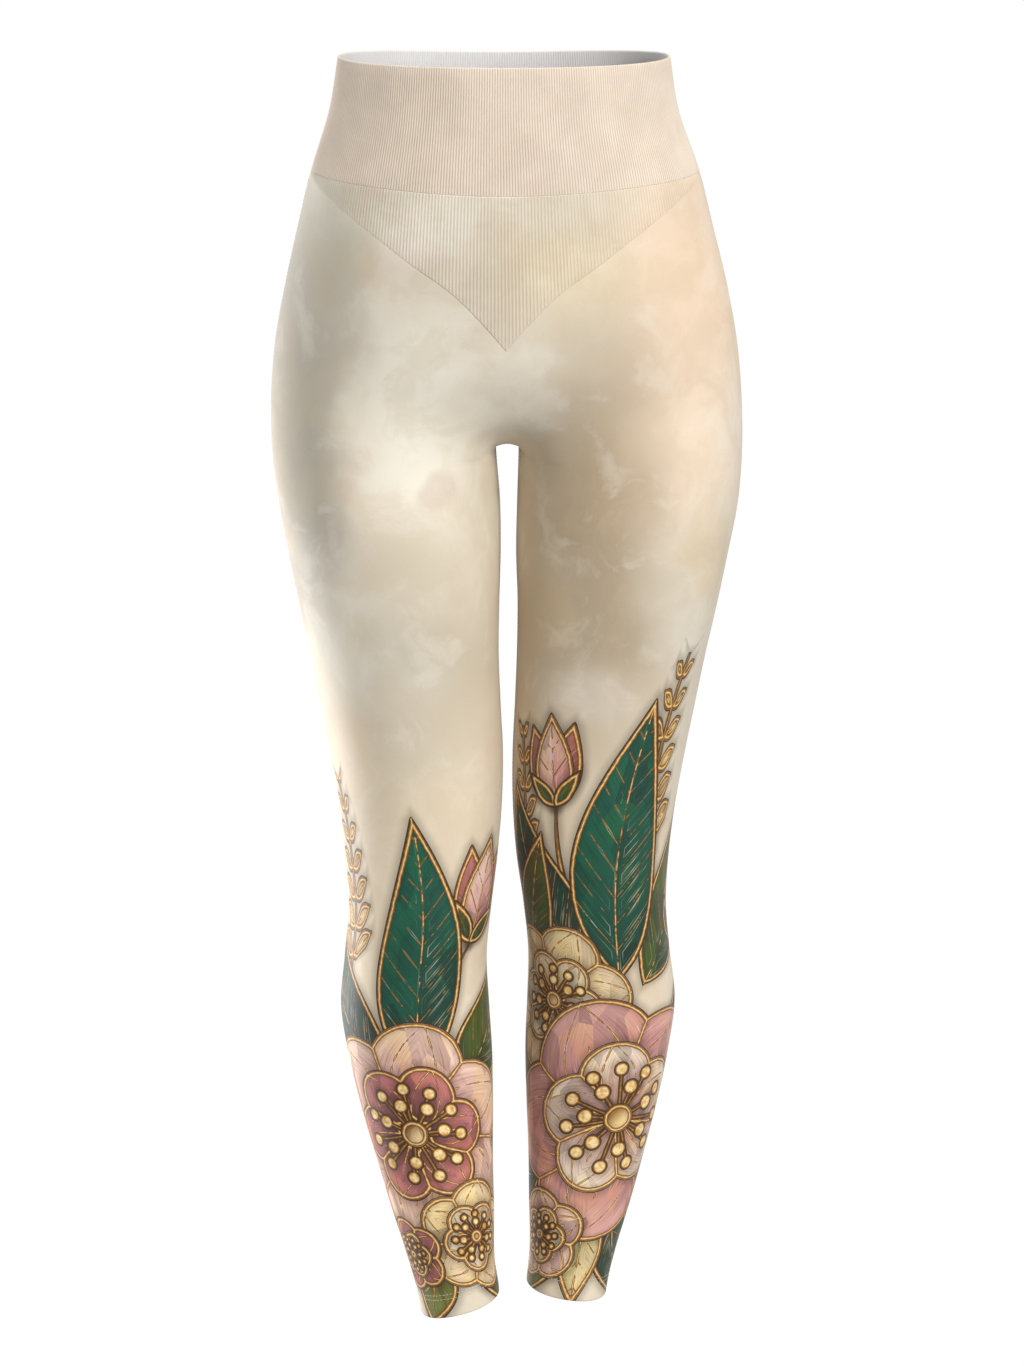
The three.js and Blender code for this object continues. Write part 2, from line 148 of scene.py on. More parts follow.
def through(keys: np.ndarray, values: np.ndarray, at: np.ndarray) -> np.ndarray:
    """Read a table's column on a smooth curve through its rows.

    Args:
        keys: The rising key column.
        values: The column to read.
        at: Where to read it.

    Returns:
        The values there.
    """
    slopes = np.diff(values) / np.diff(keys)
    ends = np.concatenate([slopes[:1], (slopes[1:] + slopes[:-1]) / 2, slopes[-1:]])
    i = np.clip(np.searchsorted(keys, at, side="right") - 1, 0, len(keys) - 2)
    span = keys[i + 1] - keys[i]
    t = (at - keys[i]) / span
    rise = t * t * (3 - 2 * t)
    bend = span * (ends[i] * t * (1 - t) ** 2 - ends[i + 1] * t * t * (1 - t))
    return values[i] + (values[i + 1] - values[i]) * rise + bend


@dataclass(frozen=True)
class Figure:
    """The form that the cloth is filled out to, with the same sizes as the solids."""

    rise: float = 294
    outseam: float = 956
    band_side: float = 84.5
    band_front_extra: float = 8
    band_back_extra: float = 4
    rim_back_drop: float = 6
    yoke_end: float = 0.885
    hem_slope: float = 0.15
    step_hem_slope: float = 0.24
    hem_middle: float = 42
    fork_front: float = 84
    fork_back: float = 125
    fork_reach: float = 0.09
    fork_wide_by: float = 0.45
    thigh: float = 70
    gusset_arch: float = 3
    step_forward: float = 27
    step_from: float = 300
    step_curve: float = 1.2
    step_drop: float = 3
    roundness: float = 2.15
    arc_steps: int = 144
    girth_levels: int = 120
    girth_steps: int = 96
    probe: float = 0.004
    middle_within: float = 0.05

    def level(self, name: str, z: np.ndarray) -> np.ndarray:
        """Read one column of the sections at some heights."""
        keys = np.array([-row.z for row in SECTIONS])
        return through(keys, np.array([getattr(row, name) for row in SECTIONS]), -z)

    def power(self, value: np.ndarray) -> np.ndarray:
        """Bend a sine to the sections' rounder form."""
        return np.sign(value) * np.abs(value) ** (2 / self.roundness)

    def on_arc(self, wide: np.ndarray, deep: np.ndarray, turn: float, share: np.ndarray) -> tuple:
        """Find the point a share of the way along an arc, by its real length.

        Args:
            wide: The arc's half width at each place.
            deep: Its half depth.
            turn: How far round it goes, in radians.
            share: How far along it the point is.

        Returns:
            The two coordinates, along the width from its end or its middle and along the depth.
        """
        angle = np.linspace(0, turn, self.arc_steps + 1)
        across, along = (np.sin(angle), np.cos(angle)) if turn < 2 else (-np.cos(angle), np.sin(angle))
        x = wide[:, None] * self.power(across)[None]
        y = deep[:, None] * self.power(along)[None]
        lengths = np.cumsum(np.hypot(np.diff(x), np.diff(y)), axis=1)
        lengths = np.hstack([np.zeros((len(wide), 1)), lengths])
        want = share * lengths[:, -1]
        i = np.clip((lengths < want[:, None]).sum(axis=1), 1, self.arc_steps)
        rows = np.arange(len(wide))
        t = (want - lengths[rows, i - 1]) / (lengths[rows, i] - lengths[rows, i - 1])
        return tuple(v[rows, i - 1] + t * (v[rows, i] - v[rows, i - 1]) for v in (x, y))

    def cloth(self, side: Side, share: np.ndarray, z: np.ndarray) -> np.ndarray:
        """Place points of the cloth's outer face.

        Args:
            side: The half of the body.
            share: The way round it, from centre front or the inseam (0) past the side (0.5).
            z: The heights.

        Returns:
            An array of points, one per share and height, in the shape of those with 3 added.
        """
        share, z = np.broadcast_arrays(np.asarray(share, float), np.asarray(z, float))
        shape = share.shape
        share, z = share.ravel(), z.ravel()
        behind = share > 0.5
        fork = np.where(behind, self.fork_back, self.fork_front)
        low = np.clip((fork - self.rise - z) / fork, 0, 1)
        curved = 1 - np.sqrt(1 - low * low)
        gentle = smooth(self.thigh - self.rise, -self.thigh - self.rise, z)
        near = bell(np.minimum(share, 1 - share), self.fork_reach)
        parted = gentle + (curved - gentle) * near
        out, inner, front, back, lean = (self.level(n, z) for n in Section._fields[1:])
        way = np.where(behind, 2 - 2 * share, 2 * share)
        sign = np.where(behind, 1, -1)
        tx, ty = self.on_arc(out, np.where(behind, back, front), math.pi / 2, way)
        lx, ly = self.on_arc((out - inner) / 2, (front + back) / 2, math.pi, way)
        lx, ly = (out + inner) / 2 + lx, (back - front) / 2 + sign * ly
        widened = inner * (smooth(0, self.fork_wide_by, curved) - curved) * near
        down = np.maximum(0, (-z - self.step_from) / (self.outseam - self.step_from))
        stepped = self.step_forward * down**self.step_curve if side is Side.RIGHT else 0
        x = np.maximum(0, (1 - parted) * tx + parted * lx + widened)
        y = (1 - parted) * sign * ty + parted * ly - stepped
        return np.stack([side.value * x + lean, y, z], axis=-1).reshape(*shape, 3)

    def outward(self, side: Side, share: np.ndarray, z: np.ndarray) -> np.ndarray:
        """Find the directions out of the cloth at some places.

        Args:
            side: The half of the body.
            share: The way round it.
            z: The heights.

        Returns:
            The unit directions, in the shape of those with 3 added.
        """
        share, z = np.broadcast_arrays(np.asarray(share, float), np.asarray(z, float))
        a, b = np.maximum(0, share - self.probe), np.minimum(1, share + self.probe)
        across = self.cloth(side, b, z) - self.cloth(side, a, z)
        down = self.cloth(side, share, z - 1) - self.cloth(side, share, z + 1)
        normal = np.cross(down, across) * side.value
        from_middle = self.cloth(side, share, z)[..., 0] - self.level("lean", z)
        on_middle = np.abs(from_middle) < self.middle_within
        normal[..., 0] = np.where(on_middle, 0, normal[..., 0])
        return normal / np.linalg.norm(normal, axis=-1, keepdims=True)

    def girth(self, z: np.ndarray) -> np.ndarray:
        """Measure the way round one half of the body at some heights.

        Args:
            z: The heights.

        Returns:
            The length from centre front to centre back, or right round a leg.
        """
        levels = np.linspace(SECTIONS[0].z, SECTIONS[-1].z, self.girth_levels)
        shares = np.linspace(0, 1, self.girth_steps + 1)
        points = self.cloth(Side.LEFT, shares[None], levels[:, None])
        round_it = np.linalg.norm(np.diff(points, axis=1), axis=2).sum(axis=1)
        return np.interp(-z, -levels, round_it)

    def rim(self, share: np.ndarray) -> np.ndarray:
        """Give the height of the waist opening."""
        return -self.rim_back_drop * smooth(0.5, 1, share)

    def band_seam(self, share: np.ndarray) -> np.ndarray:
        """Give the height of the waistband's lower edge.

        Args:
            share: The way round a half, from 0 to 1.

        Returns:
            The heights in millimetres.
        """
        extra = np.where(share > 0.5, self.band_back_extra, self.band_front_extra)
        way = 2 * np.minimum(share, 1 - share)
        return -self.band_side - extra * (1 - smooth(0, 1, way))

    def yoke_edge(self, share: np.ndarray) -> np.ndarray:
        """Give the height of the yoke's lower edge, straight between the front's own columns."""
        ways = Panel(Face.FRONT).ways()
        return np.interp(2 * share, ways, self.yoke_curve(ways / 2))

    def yoke_curve(self, share: np.ndarray) -> np.ndarray:
        """Give the height of the curve that the yoke's edge follows, which runs out at the side.

        Args:
            share: The way round a half, from 0 to 1.

        Returns:
            The heights in millimetres.
        """
        keys, values = (np.array(column, float) for column in zip(*YOKE_EDGE))
        way = 2 * share
        edge = through(keys, values, np.minimum(self.yoke_end, way))
        out = np.clip((way - self.yoke_end) / (1 - self.yoke_end), 0, 1)
        return edge + out * (self.band_seam(share) - edge)

    def hem(self, side: Side, share: np.ndarray) -> np.ndarray:
        """Give the height of a leg's lower edge.

        Args:
            side: The half of the body.
            share: The way round it.

        Returns:
            The heights.
        """
        low = np.array(-self.outseam)
        x = (self.cloth(Side.LEFT, share, low) - self.level("lean", low))[..., 0]
        if side is Side.RIGHT:
            return -self.outseam - self.step_hem_slope * (x - self.hem_middle) - self.step_drop
        return -self.outseam - self.hem_slope * (x - self.hem_middle)

    def fork_height(self, face: Face, row: np.ndarray) -> np.ndarray:
        """Give the height of the fork's curve, a share of the way down it."""
        fork = self.fork_back if face is Face.BACK else self.fork_front
        return fork - self.rise - fork * np.sin(row * math.pi / 2)

    def fork_strip(self, face: Face, row: np.ndarray, across: np.ndarray) -> np.ndarray:
        """Place points of the strip between the two halves under the fork.

        Args:
            face: Which panel's side of the crotch.
            row: How far down the fork's curve, from 0 to 1.
            across: The way across the strip, from -1 to 1.

        Returns:
            The points, rows first.
        """
        z = self.fork_height(face, row)
        edge = self.cloth(Side.LEFT, 1.0 if face is Face.BACK else 0.0, z)
        lean = self.level("lean", z)
        half = np.maximum(0, edge[:, 0] - lean)
        facing = 1 if face is Face.BACK else -1
        lift = self.gusset_arch * (1 - np.cos(row * math.pi / 2))[:, None] * (1 - across**2)[None]
        x = lean[:, None] + across[None] * half[:, None]
        y = edge[:, 1][:, None] - facing * np.cos(row * math.pi / 2)[:, None] * lift
        return np.stack([x, y, z[:, None] + np.sin(row * math.pi / 2)[:, None] * lift], axis=-1)


FIGURE = Figure()


def new_object(
    name: str, bm: bmesh.types.BMesh, materials: Sequence[bpy.types.Material]
) -> bpy.types.Object:
    """Close a bmesh and put it in the scene with its materials.

    Args:
        name: The object's name.
        bm: Its shape, which is freed.
        materials: Its materials in order.

    Returns:
        The object.
    """
    mesh = bpy.data.meshes.new(name)
    bm.to_mesh(mesh)
    bm.free()
    for material in materials:
        mesh.materials.append(material)
    made = bpy.data.objects.new(name, mesh)
    bpy.context.collection.objects.link(made)
    return made


def laid_round(turn: np.ndarray, z: np.ndarray, away: np.ndarray) -> np.ndarray:
    """Place rows of points round the body, on or off the cloth's outer face.

    Args:
        turn: The way round at each column, from centre back (-1) past centre front (0).
        z: The points' heights, rows first.
        away: How far out of the cloth each lies.

    Returns:
        The points.
    """
    points = np.empty((*z.shape, 3))
    for side in Side:
        mine = turn >= 0 if side is Side.LEFT else turn < 0
        level = z[:, mine]
        shares = np.broadcast_to(np.abs(turn[mine]), level.shape)
        out = FIGURE.outward(side, shares, level) * away[:, mine][..., None]
        points[:, mine] = FIGURE.cloth(side, shares, level) + out
    return points


@dataclass
class Patch:
    """A grid of cloth points, with what is known of each.

    Args:
        points: Rows and columns of points on the outer face.
        printed: Where each lies on the printed cloth.
        block: Where the patch lies in the bake's square, as two corners.
        flipped: Whether its faces turn the other way round.
        thick: The cloth's thickness at each point.
        dips: How far each outer point lies below the face it would have.
        finish: Gives a face's material index by its height; the first material if there is none.
    """

    points: np.ndarray
    printed: np.ndarray
    block: tuple[float, float, float, float]
    flipped: bool
    thick: np.ndarray
    dips: Optional[np.ndarray] = None
    finish: Optional[Callable[[float], int]] = None


class Shell:
    """A piece of cloth as a closed thin wall, built up from patches."""

    rim_strip = 0.0015

    def __init__(self, name: str, inner_block: float) -> None:
        """Start an empty piece.

        Args:
            name: The piece's name.
            inner_block: How far the inner wall's part of the bake's square lies from the outer's.
        """
        self.name = name
        self.inner_block = inner_block
        self.bm = bmesh.new()
        self.print_map = self.bm.loops.layers.uv.new("Print")
        self.bake_map = self.bm.loops.layers.uv.new("OFBake")
        self.thick = self.bm.verts.layers.float.new("thick")
        self.dip = self.bm.verts.layers.float.new("dip")

    def lay(self, patch: Patch) -> None:
        """Lay a patch as a grid whose points are moved onto the cloth.

        Args:
            patch: The patch.
        """
        rows, columns = patch.points.shape[:2]
        made = bmesh.ops.create_grid(self.bm, x_segments=columns - 1, y_segments=rows - 1, size=1)
        place = {}
        for vert in made["verts"]:
            r, c = round((vert.co.y + 1) / 2 * (rows - 1)), round((vert.co.x + 1) / 2 * (columns - 1))
            place[vert] = (r, c)
            vert.co = Vector(patch.points[r, c]) * MM
            vert[self.thick] = patch.thick[r, c]
            vert[self.dip] = 0 if patch.dips is None else patch.dips[r, c]
        u0, v0, u1, v1 = patch.block
        faces = {face for vert in made["verts"] for face in vert.link_faces}
        for face in faces:
            face.smooth = True
            heights = []
            for loop in face.loops:
                r, c = place[loop.vert]
                heights.append(patch.printed[r, c][1])
                loop[self.print_map].uv = patch.printed[r, c] * MM
                u = u0 + (u1 - u0) * c / (columns - 1)
                loop[self.bake_map].uv = (u, v1 - (v1 - v0) * r / (rows - 1))
            face.material_index = patch.finish(sum(heights) / len(heights)) if patch.finish else 0
        if patch.flipped:
            bmesh.ops.reverse_faces(self.bm, faces=list(faces))

    def weld(self, nearer: float = 0.05) -> None:
        """Join the patches where their points agree."""
        bmesh.ops.remove_doubles(self.bm, verts=self.bm.verts[:], dist=nearer * MM)
        self.bm.normal_update()

    def thicken(self, lining: int) -> None:
        """Give the cloth its inner wall and close its edges.

        Args:
            lining: The material index of the inner wall.
        """
        outer = self.bm.faces[:]
        made = bmesh.ops.extrude_face_region(self.bm, geom=outer, use_keep_orig=True)["geom"]
        inner = [item for item in made if isinstance(item, bmesh.types.BMFace)]
        known = set(outer) | set(inner)
        rims = [face for face in self.bm.faces if face not in known]
        for vert in {vert for face in inner for vert in face.verts}:
            vert.co -= vert.normal * (vert[self.thick] * MM)
        for vert in {vert for face in outer for vert in face.verts}:
            if vert[self.dip]:
                vert.co -= vert.normal * (vert[self.dip] * MM)
        for face in inner:
            face.material_index = lining
            for loop in face.loops:
                loop[self.bake_map].uv.x += self.inner_block
        self.edge_maps(rims, {vert for face in outer for vert in face.verts})
        bmesh.ops.recalc_face_normals(self.bm, faces=self.bm.faces[:])

    def edge_maps(self, rims: Sequence[bmesh.types.BMFace], outer: set) -> None:
        """Give the narrow faces of the edges their own thin strips beside the outer wall's part.

        Args:
            rims: The faces of the edges.
            outer: The points of the outer wall.
        """
        for face in rims:
            near = [loop for loop in face.loops if loop.vert in outer]
            far = [loop for loop in face.loops if loop.vert not in outer]
            beside = [
                twin
                for loop in near
                for twin in loop.vert.link_loops
                if twin.face not in rims
                and len(near) == 2
                and all(other.vert in twin.face.verts for other in near)
            ]
            face.material_index = beside[0].face.material_index if beside else 0
            if not beside:
                continue
            twins = {twin.vert: twin[self.bake_map].uv.copy() for twin in beside[0].face.loops}
            middle = sum(twins.values(), Vector((0, 0))) / len(twins)
            ends = [twins[loop.vert] for loop in near]
            along = ends[1] - ends[0]
            out = Vector((along.y, -along.x))
            if out.length < 1e-9:
                continue
            out = out.normalized() * self.rim_strip
            if out.dot((ends[0] + ends[1]) / 2 - middle) < 0:
                out.negate()
            for loop in near:
                loop[self.bake_map].uv = twins[loop.vert]
            for loop in far:
                partner = min(near, key=lambda other: (other.vert.co - loop.vert.co).length)
                loop[self.bake_map].uv = twins[partner.vert] + out

    def piece(self, materials: Sequence[bpy.types.Material]) -> bpy.types.Object:
        """Close the bmesh and return the finished piece with its materials."""
        return new_object(self.name, self.bm, materials)


class Crease(NamedTuple):
    """A soft trough or ridge of the cloth on one leg, longer than it is wide."""

    side: Side
    share: float
    z: float
    reach: float
    width: float
    depth: float
    tilt: float


@dataclass(frozen=True)
class Drape:
    """The soft, uneven creases where the cloth gives at the crotch, the knees and the ankles."""

    creases: tuple[Crease, ...] = (
        Crease(Side.LEFT, 0.06, -318, 34, 9, -0.9, 28),
        Crease(Side.LEFT, 0.10, -346, 40, 10, -0.7, 34),
        Crease(Side.RIGHT, 0.06, -316, 32, 9, -0.9, 30),
        Crease(Side.RIGHT, 0.11, -350, 44, 11, -0.7, 38),
        Crease(Side.LEFT, 0.94, -322, 40, 10, -1.4, 24),
        Crease(Side.LEFT, 0.90, -352, 46, 12, -1.1, 20),
        Crease(Side.RIGHT, 0.94, -324, 38, 10, -1.4, 26),
        Crease(Side.RIGHT, 0.89, -348, 48, 12, -1.1, 18),
        Crease(Side.LEFT, 0.74, -628, 52, 8, -1.5, 4),
        Crease(Side.LEFT, 0.78, -652, 60, 10, -1.8, -5),
        Crease(Side.LEFT, 0.70, -676, 46, 9, -1.3, 7),
        Crease(Side.RIGHT, 0.76, -630, 54, 9, -1.6, -4),
        Crease(Side.RIGHT, 0.72, -656, 60, 9, -1.8, 6),
        Crease(Side.RIGHT, 0.77, -680, 44, 9, -1.2, -8),
        Crease(Side.LEFT, 0.26, -612, 44, 16, -0.6, 8),
        Crease(Side.LEFT, 0.20, -676, 40, 15, -0.6, -10),
        Crease(Side.RIGHT, 0.24, -606, 46, 16, -0.6, -8),
        Crease(Side.RIGHT, 0.30, -680, 38, 14, -0.5, 9),
        Crease(Side.LEFT, 0.22, -886, 34, 8, -0.8, 7),
        Crease(Side.LEFT, 0.34, -907, 30, 7, -0.7, -9),
        Crease(Side.RIGHT, 0.28, -890, 34, 8, -0.8, -7),
        Crease(Side.RIGHT, 0.16, -912, 28, 7, -0.7, 8),
        Crease(Side.LEFT, 0.72, -880, 40, 8, -1.3, -6),
        Crease(Side.LEFT, 0.80, -902, 36, 7, -1.2, 8),
        Crease(Side.RIGHT, 0.78, -884, 40, 8, -1.3, 7),
        Crease(Side.RIGHT, 0.68, -908, 36, 7, -1.2, -6),
        Crease(Side.LEFT, 0.55, -300, 60, 22, -0.8, 60),
        Crease(Side.RIGHT, 0.55, -304, 60, 22, -0.8, 62),
    )
    waver: float = 0.16
    beside: float = 0.45
    swell: float = 0.22

    def depth(self, side: Side, share: np.ndarray, z: np.ndarray, girth: np.ndarray) -> np.ndarray:
        """Give how far the cloth stands out at each place, in millimetres.

        Args:
            side: The half of the body.
            share: The way round it.
            z: The heights.
            girth: The way round at each, in millimetres.

        Returns:
            The depths, negative inwards.
        """
        total = self.swell * np.sin(z / 41 + 5 * share + side.value) * np.sin(7.3 * share + z / 97)
        for n, crease in enumerate(self.creases):
            if crease.side is not side:
                continue
            round_it = (share - crease.share) * girth
            down = z - crease.z
            turn = math.radians(crease.tilt)
            along = round_it * math.cos(turn) + down * math.sin(turn)
            across = down * math.cos(turn) - round_it * math.sin(turn)
            across = across + self.waver * crease.reach * np.sin(2.3 * along / crease.reach + n)
            fade = np.exp(-((along / crease.reach) ** 4))
            rise_beside = self.beside * bell(across - 2 * crease.width, crease.width)
            total = total + crease.depth * fade * (bell(across, crease.width) - rise_beside)
        return total


@dataclass(frozen=True)
class Panel:
    """The front or the back: a half round each leg, and the strip between them down to the gusset."""

    face: Face
    drape: Drape = Drape()
    columns: int = 44
    crowding: float = 1.4
    seat_rows: int = 22
    fork_rows: int = 48
    leg_rows: int = 150
    strip_columns: int = 6
    gusset_front: float = 0.75
    gusset_back: float = 0.625
    cloth: float = 1.4
    hem_cloth: float = 2.3
    hem_depth: float = 20
    hem_line: float = 16.5
    hem_steps: tuple[float, ...] = (22, 20.5, 19.6, 18.5, 16.5, 13, 9, 5, 2.4, 1.3, 0.75, 0.35, 0.1, 0)
    top_steps: tuple[float, ...] = (0.12, 0.28, 0.5, 0.75)
    rounding: float = 1.3
    stitch_dip: float = 0.16
    turn_dip: float = 0.1
    calm_seam: float = 14
    calm_top: float = 12
    calm_middle: float = 60
    bridge_foot: tuple[float, float] = (2, 30)
    bridge_top: tuple[float, float] = (-6, 24)
    row_reach: float = 0.18
    seam_dip: float = 0.4
    seam_reach: float = 1.3
    edge_dip: float = 0.04
    bridged: float = 24
    block_width: float = 0.225

    @property
    def behind(self) -> bool:
        """Whether this is the back."""
        return self.face is Face.BACK

    def ways(self) -> np.ndarray:
        """Give the columns' places from the middle to the side, closer at both ends."""
        even = (np.arange(self.columns + 1) / self.columns) ** self.crowding
        return np.unique(np.concatenate([even, [0.0022, 0.985, 0.9925, 0.9965]]))

    def top(self, share: np.ndarray) -> np.ndarray:
        """Give the height of the panel's upper edge."""
        return FIGURE.band_seam(share) if self.behind else FIGURE.yoke_edge(share)

    def heights(self, side: Side, share: np.ndarray) -> np.ndarray:
        """Give the rows' heights at each column, which follow the fork's curve beside it.

        Args:
            side: The half of the body.
            share: The columns' way round it.

        Returns:
            The heights, rows first.
        """
        fork = FIGURE.fork_back if self.behind else FIGURE.fork_front
        near = bell(np.minimum(share, 1 - share), self.row_reach)[None]
        above = self.seat_rows + self.fork_rows
        r = np.arange(above)[:, None]
        top = self.top(share)[None]
        even = top + r / above * (-FIGURE.rise - top)
        seat = top + r / self.seat_rows * (fork - FIGURE.rise - top)
        forked = FIGURE.fork_height(self.face, np.clip((r - self.seat_rows) / self.fork_rows, 0, 1))
        upper = even + near * (np.where(r < self.seat_rows, seat, forked) - even)
        near_top = upper[0] + np.array(self.top_steps)[:, None] * (upper[1] - upper[0])
        upper = np.vstack([upper[:1], near_top, upper[1:]])
        hem = FIGURE.hem(side, share)[None]
        fold = hem + self.hem_depth + 2
        leg = -FIGURE.rise + np.arange(self.leg_rows)[:, None] / self.leg_rows * (fold + FIGURE.rise)
        return np.vstack([upper, leg, hem + np.array(self.hem_steps)[:, None]])

    def half(self, side: Side, finish: Callable[[float], int]) -> Patch:
        """Make the half of the panel that goes round one leg.

        Args:
            side: The half of the body.
            finish: Gives a face's material index by its height.

        Returns:
            The patch.
        """
        way = self.ways()
        share = 1 - way / 2 if self.behind else way / 2
        z = self.heights(side, share)
        shares = np.broadcast_to(share[None], z.shape)
        points = FIGURE.cloth(side, shares, z)
        normal = FIGURE.outward(side, shares, z)
        girth = FIGURE.girth(z)
        middle = way[None] / 2 * girth
        edge = (1 - way[None]) / 2 * girth
        below = z < -FIGURE.rise - 4
        from_top = self.top(share)[None] - z
        calm = smooth(0, self.calm_seam, edge) * smooth(0, self.calm_seam, middle)
        calm = calm * smooth(0, self.calm_top, from_top)
        calm = np.where(z < -FIGURE.rise, calm, calm * smooth(0, self.calm_middle, middle))
        out = self.drape.depth(side, shares, z, girth) * calm
        out -= self.seam_dip * bell(edge, self.seam_reach)
        out -= np.where(below, self.seam_dip * bell(middle, self.seam_reach), 0)
        out -= self.edge_dip * bell(from_top, self.seam_reach)
        above_hem = z - FIGURE.hem(side, share)[None]
        stitched = self.stitch_dip * bell(above_hem - self.hem_line, 1.6)
        out -= stitched + self.turn_dip * bell(above_hem - self.hem_depth, 1.2)
        rounded = 1 - np.sqrt(1 - (1 - np.clip(above_hem / self.rounding, 0, 1)) ** 2)
        out -= 1.1 * rounded
        turned = 1 - smooth(self.hem_depth - 0.8, self.hem_depth + 0.6, above_hem)
        thick = self.cloth + (self.hem_cloth - self.cloth) * turned
        across = (0.75 - shares if self.behind else shares - 0.25) * girth * side.value
        left = 0.005 if side is Side.LEFT else 0.245
        return Patch(
            points=points + normal * out[..., None],
            printed=np.stack([across, z], axis=-1),
            block=(left, 0.005, left + self.block_width, 0.995),
            flipped=(side is Side.LEFT) != self.behind,
            thick=thick - 2.0 * rounded,
            finish=finish,
        )

    def strip(self) -> Patch:
        """Make the strip between the halves, from the fork's top down to the gusset.

        Returns:
            The patch.
        """
        last = self.gusset_back if self.behind else self.gusset_front
        row = np.arange(round(last * self.fork_rows) + 1) / self.fork_rows
        across = np.linspace(-1, 1, self.strip_columns + 1)
        points = FIGURE.fork_strip(self.face, row, across)
        return Patch(
            points=points,
            printed=np.stack([points[..., 0] + 95, points[..., 2]], axis=-1),
            block=(0.962, 0.005, 0.975, 0.4),
            flipped=not self.behind,
            thick=np.full(points.shape[:2], self.cloth),
        )

    def bridge(self, bm: bmesh.types.BMesh) -> None:
        """Span the fold between the thighs above the crotch, as taut cloth does.

        Args:
            bm: The panel's points, which are moved.
        """
        last = self.gusset_back if self.behind else self.gusset_front
        low, high = FIGURE.fork_height(self.face, np.array([last, 0.0]))
        inside = [
            vert
            for vert in bm.verts
            if abs(vert.co.x / MM) < 1.2 * self.bridged
            and low < vert.co.z / MM < high + self.bridge_top[1]
        ]
        x, y, z = (np.array([vert.co[axis] for vert in inside]) / MM for axis in range(3))
        shares = np.linspace(0, 0.3, 61)
        shares = 1 - shares if self.behind else shares
        profile = FIGURE.cloth(Side.LEFT, shares[None], z[:, None])
        leans = FIGURE.level("lean", z)
        off = np.abs(x - leans)
        at = [self.bridged, self.bridged + 2]
        rows = [np.interp(at, line[:, 0] - lean, line[:, 1]) for line, lean in zip(profile, leans)]
        edge, beyond = np.array(rows).T
        slope = (beyond - edge) / 2
        spanned = edge - slope * (self.bridged**2 - off**2) / (2 * self.bridged)
        (foot, full), (fading, top) = self.bridge_foot, self.bridge_top
        fade = smooth(low + foot, low + full, z) * (1 - smooth(high + fading, high + top, z))
        fade = fade * (off < self.bridged)
        for vert, old, new, share in zip(inside, y, spanned, fade):
            vert.co.y = (old + float(share) * (new - old)) * MM
        bm.normal_update()

    def build(
        self, finishes: Sequence[bpy.types.Material], bands: dict[Side, Callable[[float], int]]
    ) -> bpy.types.Object:
        """Build the panel.

        Args:
            finishes: Its materials, with the lining last.
            bands: For each leg, the material index of a face by its height.

        Returns:
            The piece.
        """
        shell = Shell(self.face.value + "_panel", 0.48)
        for side in Side:
            shell.lay(self.half(side, bands[side]))
        shell.lay(self.strip())
        shell.weld()
        self.bridge(shell.bm)
        shell.thicken(len(finishes) - 1)
        piece = shell.piece(finishes)
        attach(piece, "root")
        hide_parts(self.face.value + "_left", self.face.value + "_right")
        return piece


@dataclass(frozen=True)
class Gusset:
    """The narrow strip set in under the crotch, between the inseams."""

    rows: int = 48
    columns: int = 8
    front: float = 0.75
    back: float = 0.625
    cloth: float = 1.4
    seam_dip: float = 0.35

    def build(self, finishes: Sequence[bpy.types.Material]) -> bpy.types.Object:
        """Build the gusset with its own material and the lining.

        Args:
            finishes: Its materials, with the inside's last.

        Returns:
            The piece.
        """
        across = np.linspace(-1, 1, self.columns + 1)
        fore = np.arange(round(self.front * self.rows), self.rows + 1) / self.rows
        aft = np.arange(round(self.back * self.rows), self.rows) / self.rows
        front = FIGURE.fork_strip(Face.FRONT, fore, across)
        back = FIGURE.fork_strip(Face.BACK, aft, across)[::-1]
        points = np.concatenate([front, back])
        along = np.concatenate([[0], np.cumsum(np.linalg.norm(np.diff(points[:, 4], axis=0), axis=1))])
        ends = np.minimum(along, along[-1] - along)[:, None]
        sides = (1 - np.abs(across))[None] * 6
        points[..., 2] += self.seam_dip * np.maximum(bell(ends, 1.1), bell(sides, 0.9))
        shell = Shell("gusset_strip", 0.5)
        grid = points.shape[:2]
        printed = [np.broadcast_to(across * 8 + 95, grid), np.broadcast_to(along[:, None], grid) - 400]
        shell.lay(
            Patch(
                points=points,
                printed=np.stack(printed, axis=-1),
                block=(0.05, 0.05, 0.45, 0.95),
                flipped=True,
                thick=np.full(grid, self.cloth),
            )
        )
        shell.weld()
        shell.thicken(len(finishes) - 1)
        piece = shell.piece(finishes)
        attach(piece, "root")
        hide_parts("gusset")
        return piece


@dataclass(frozen=True)
class Ribs:
    """A knit of fine raised ribs."""

    count: int
    across: int = 6
    relief: float = 0.4

    def dips(self) -> np.ndarray:
        """Give how deep the knit lies at each column."""
        phase = np.arange(self.count * self.across + 1) / self.across
        return self.relief * (1 - np.abs(np.sin(np.pi * phase)) ** 0.7)


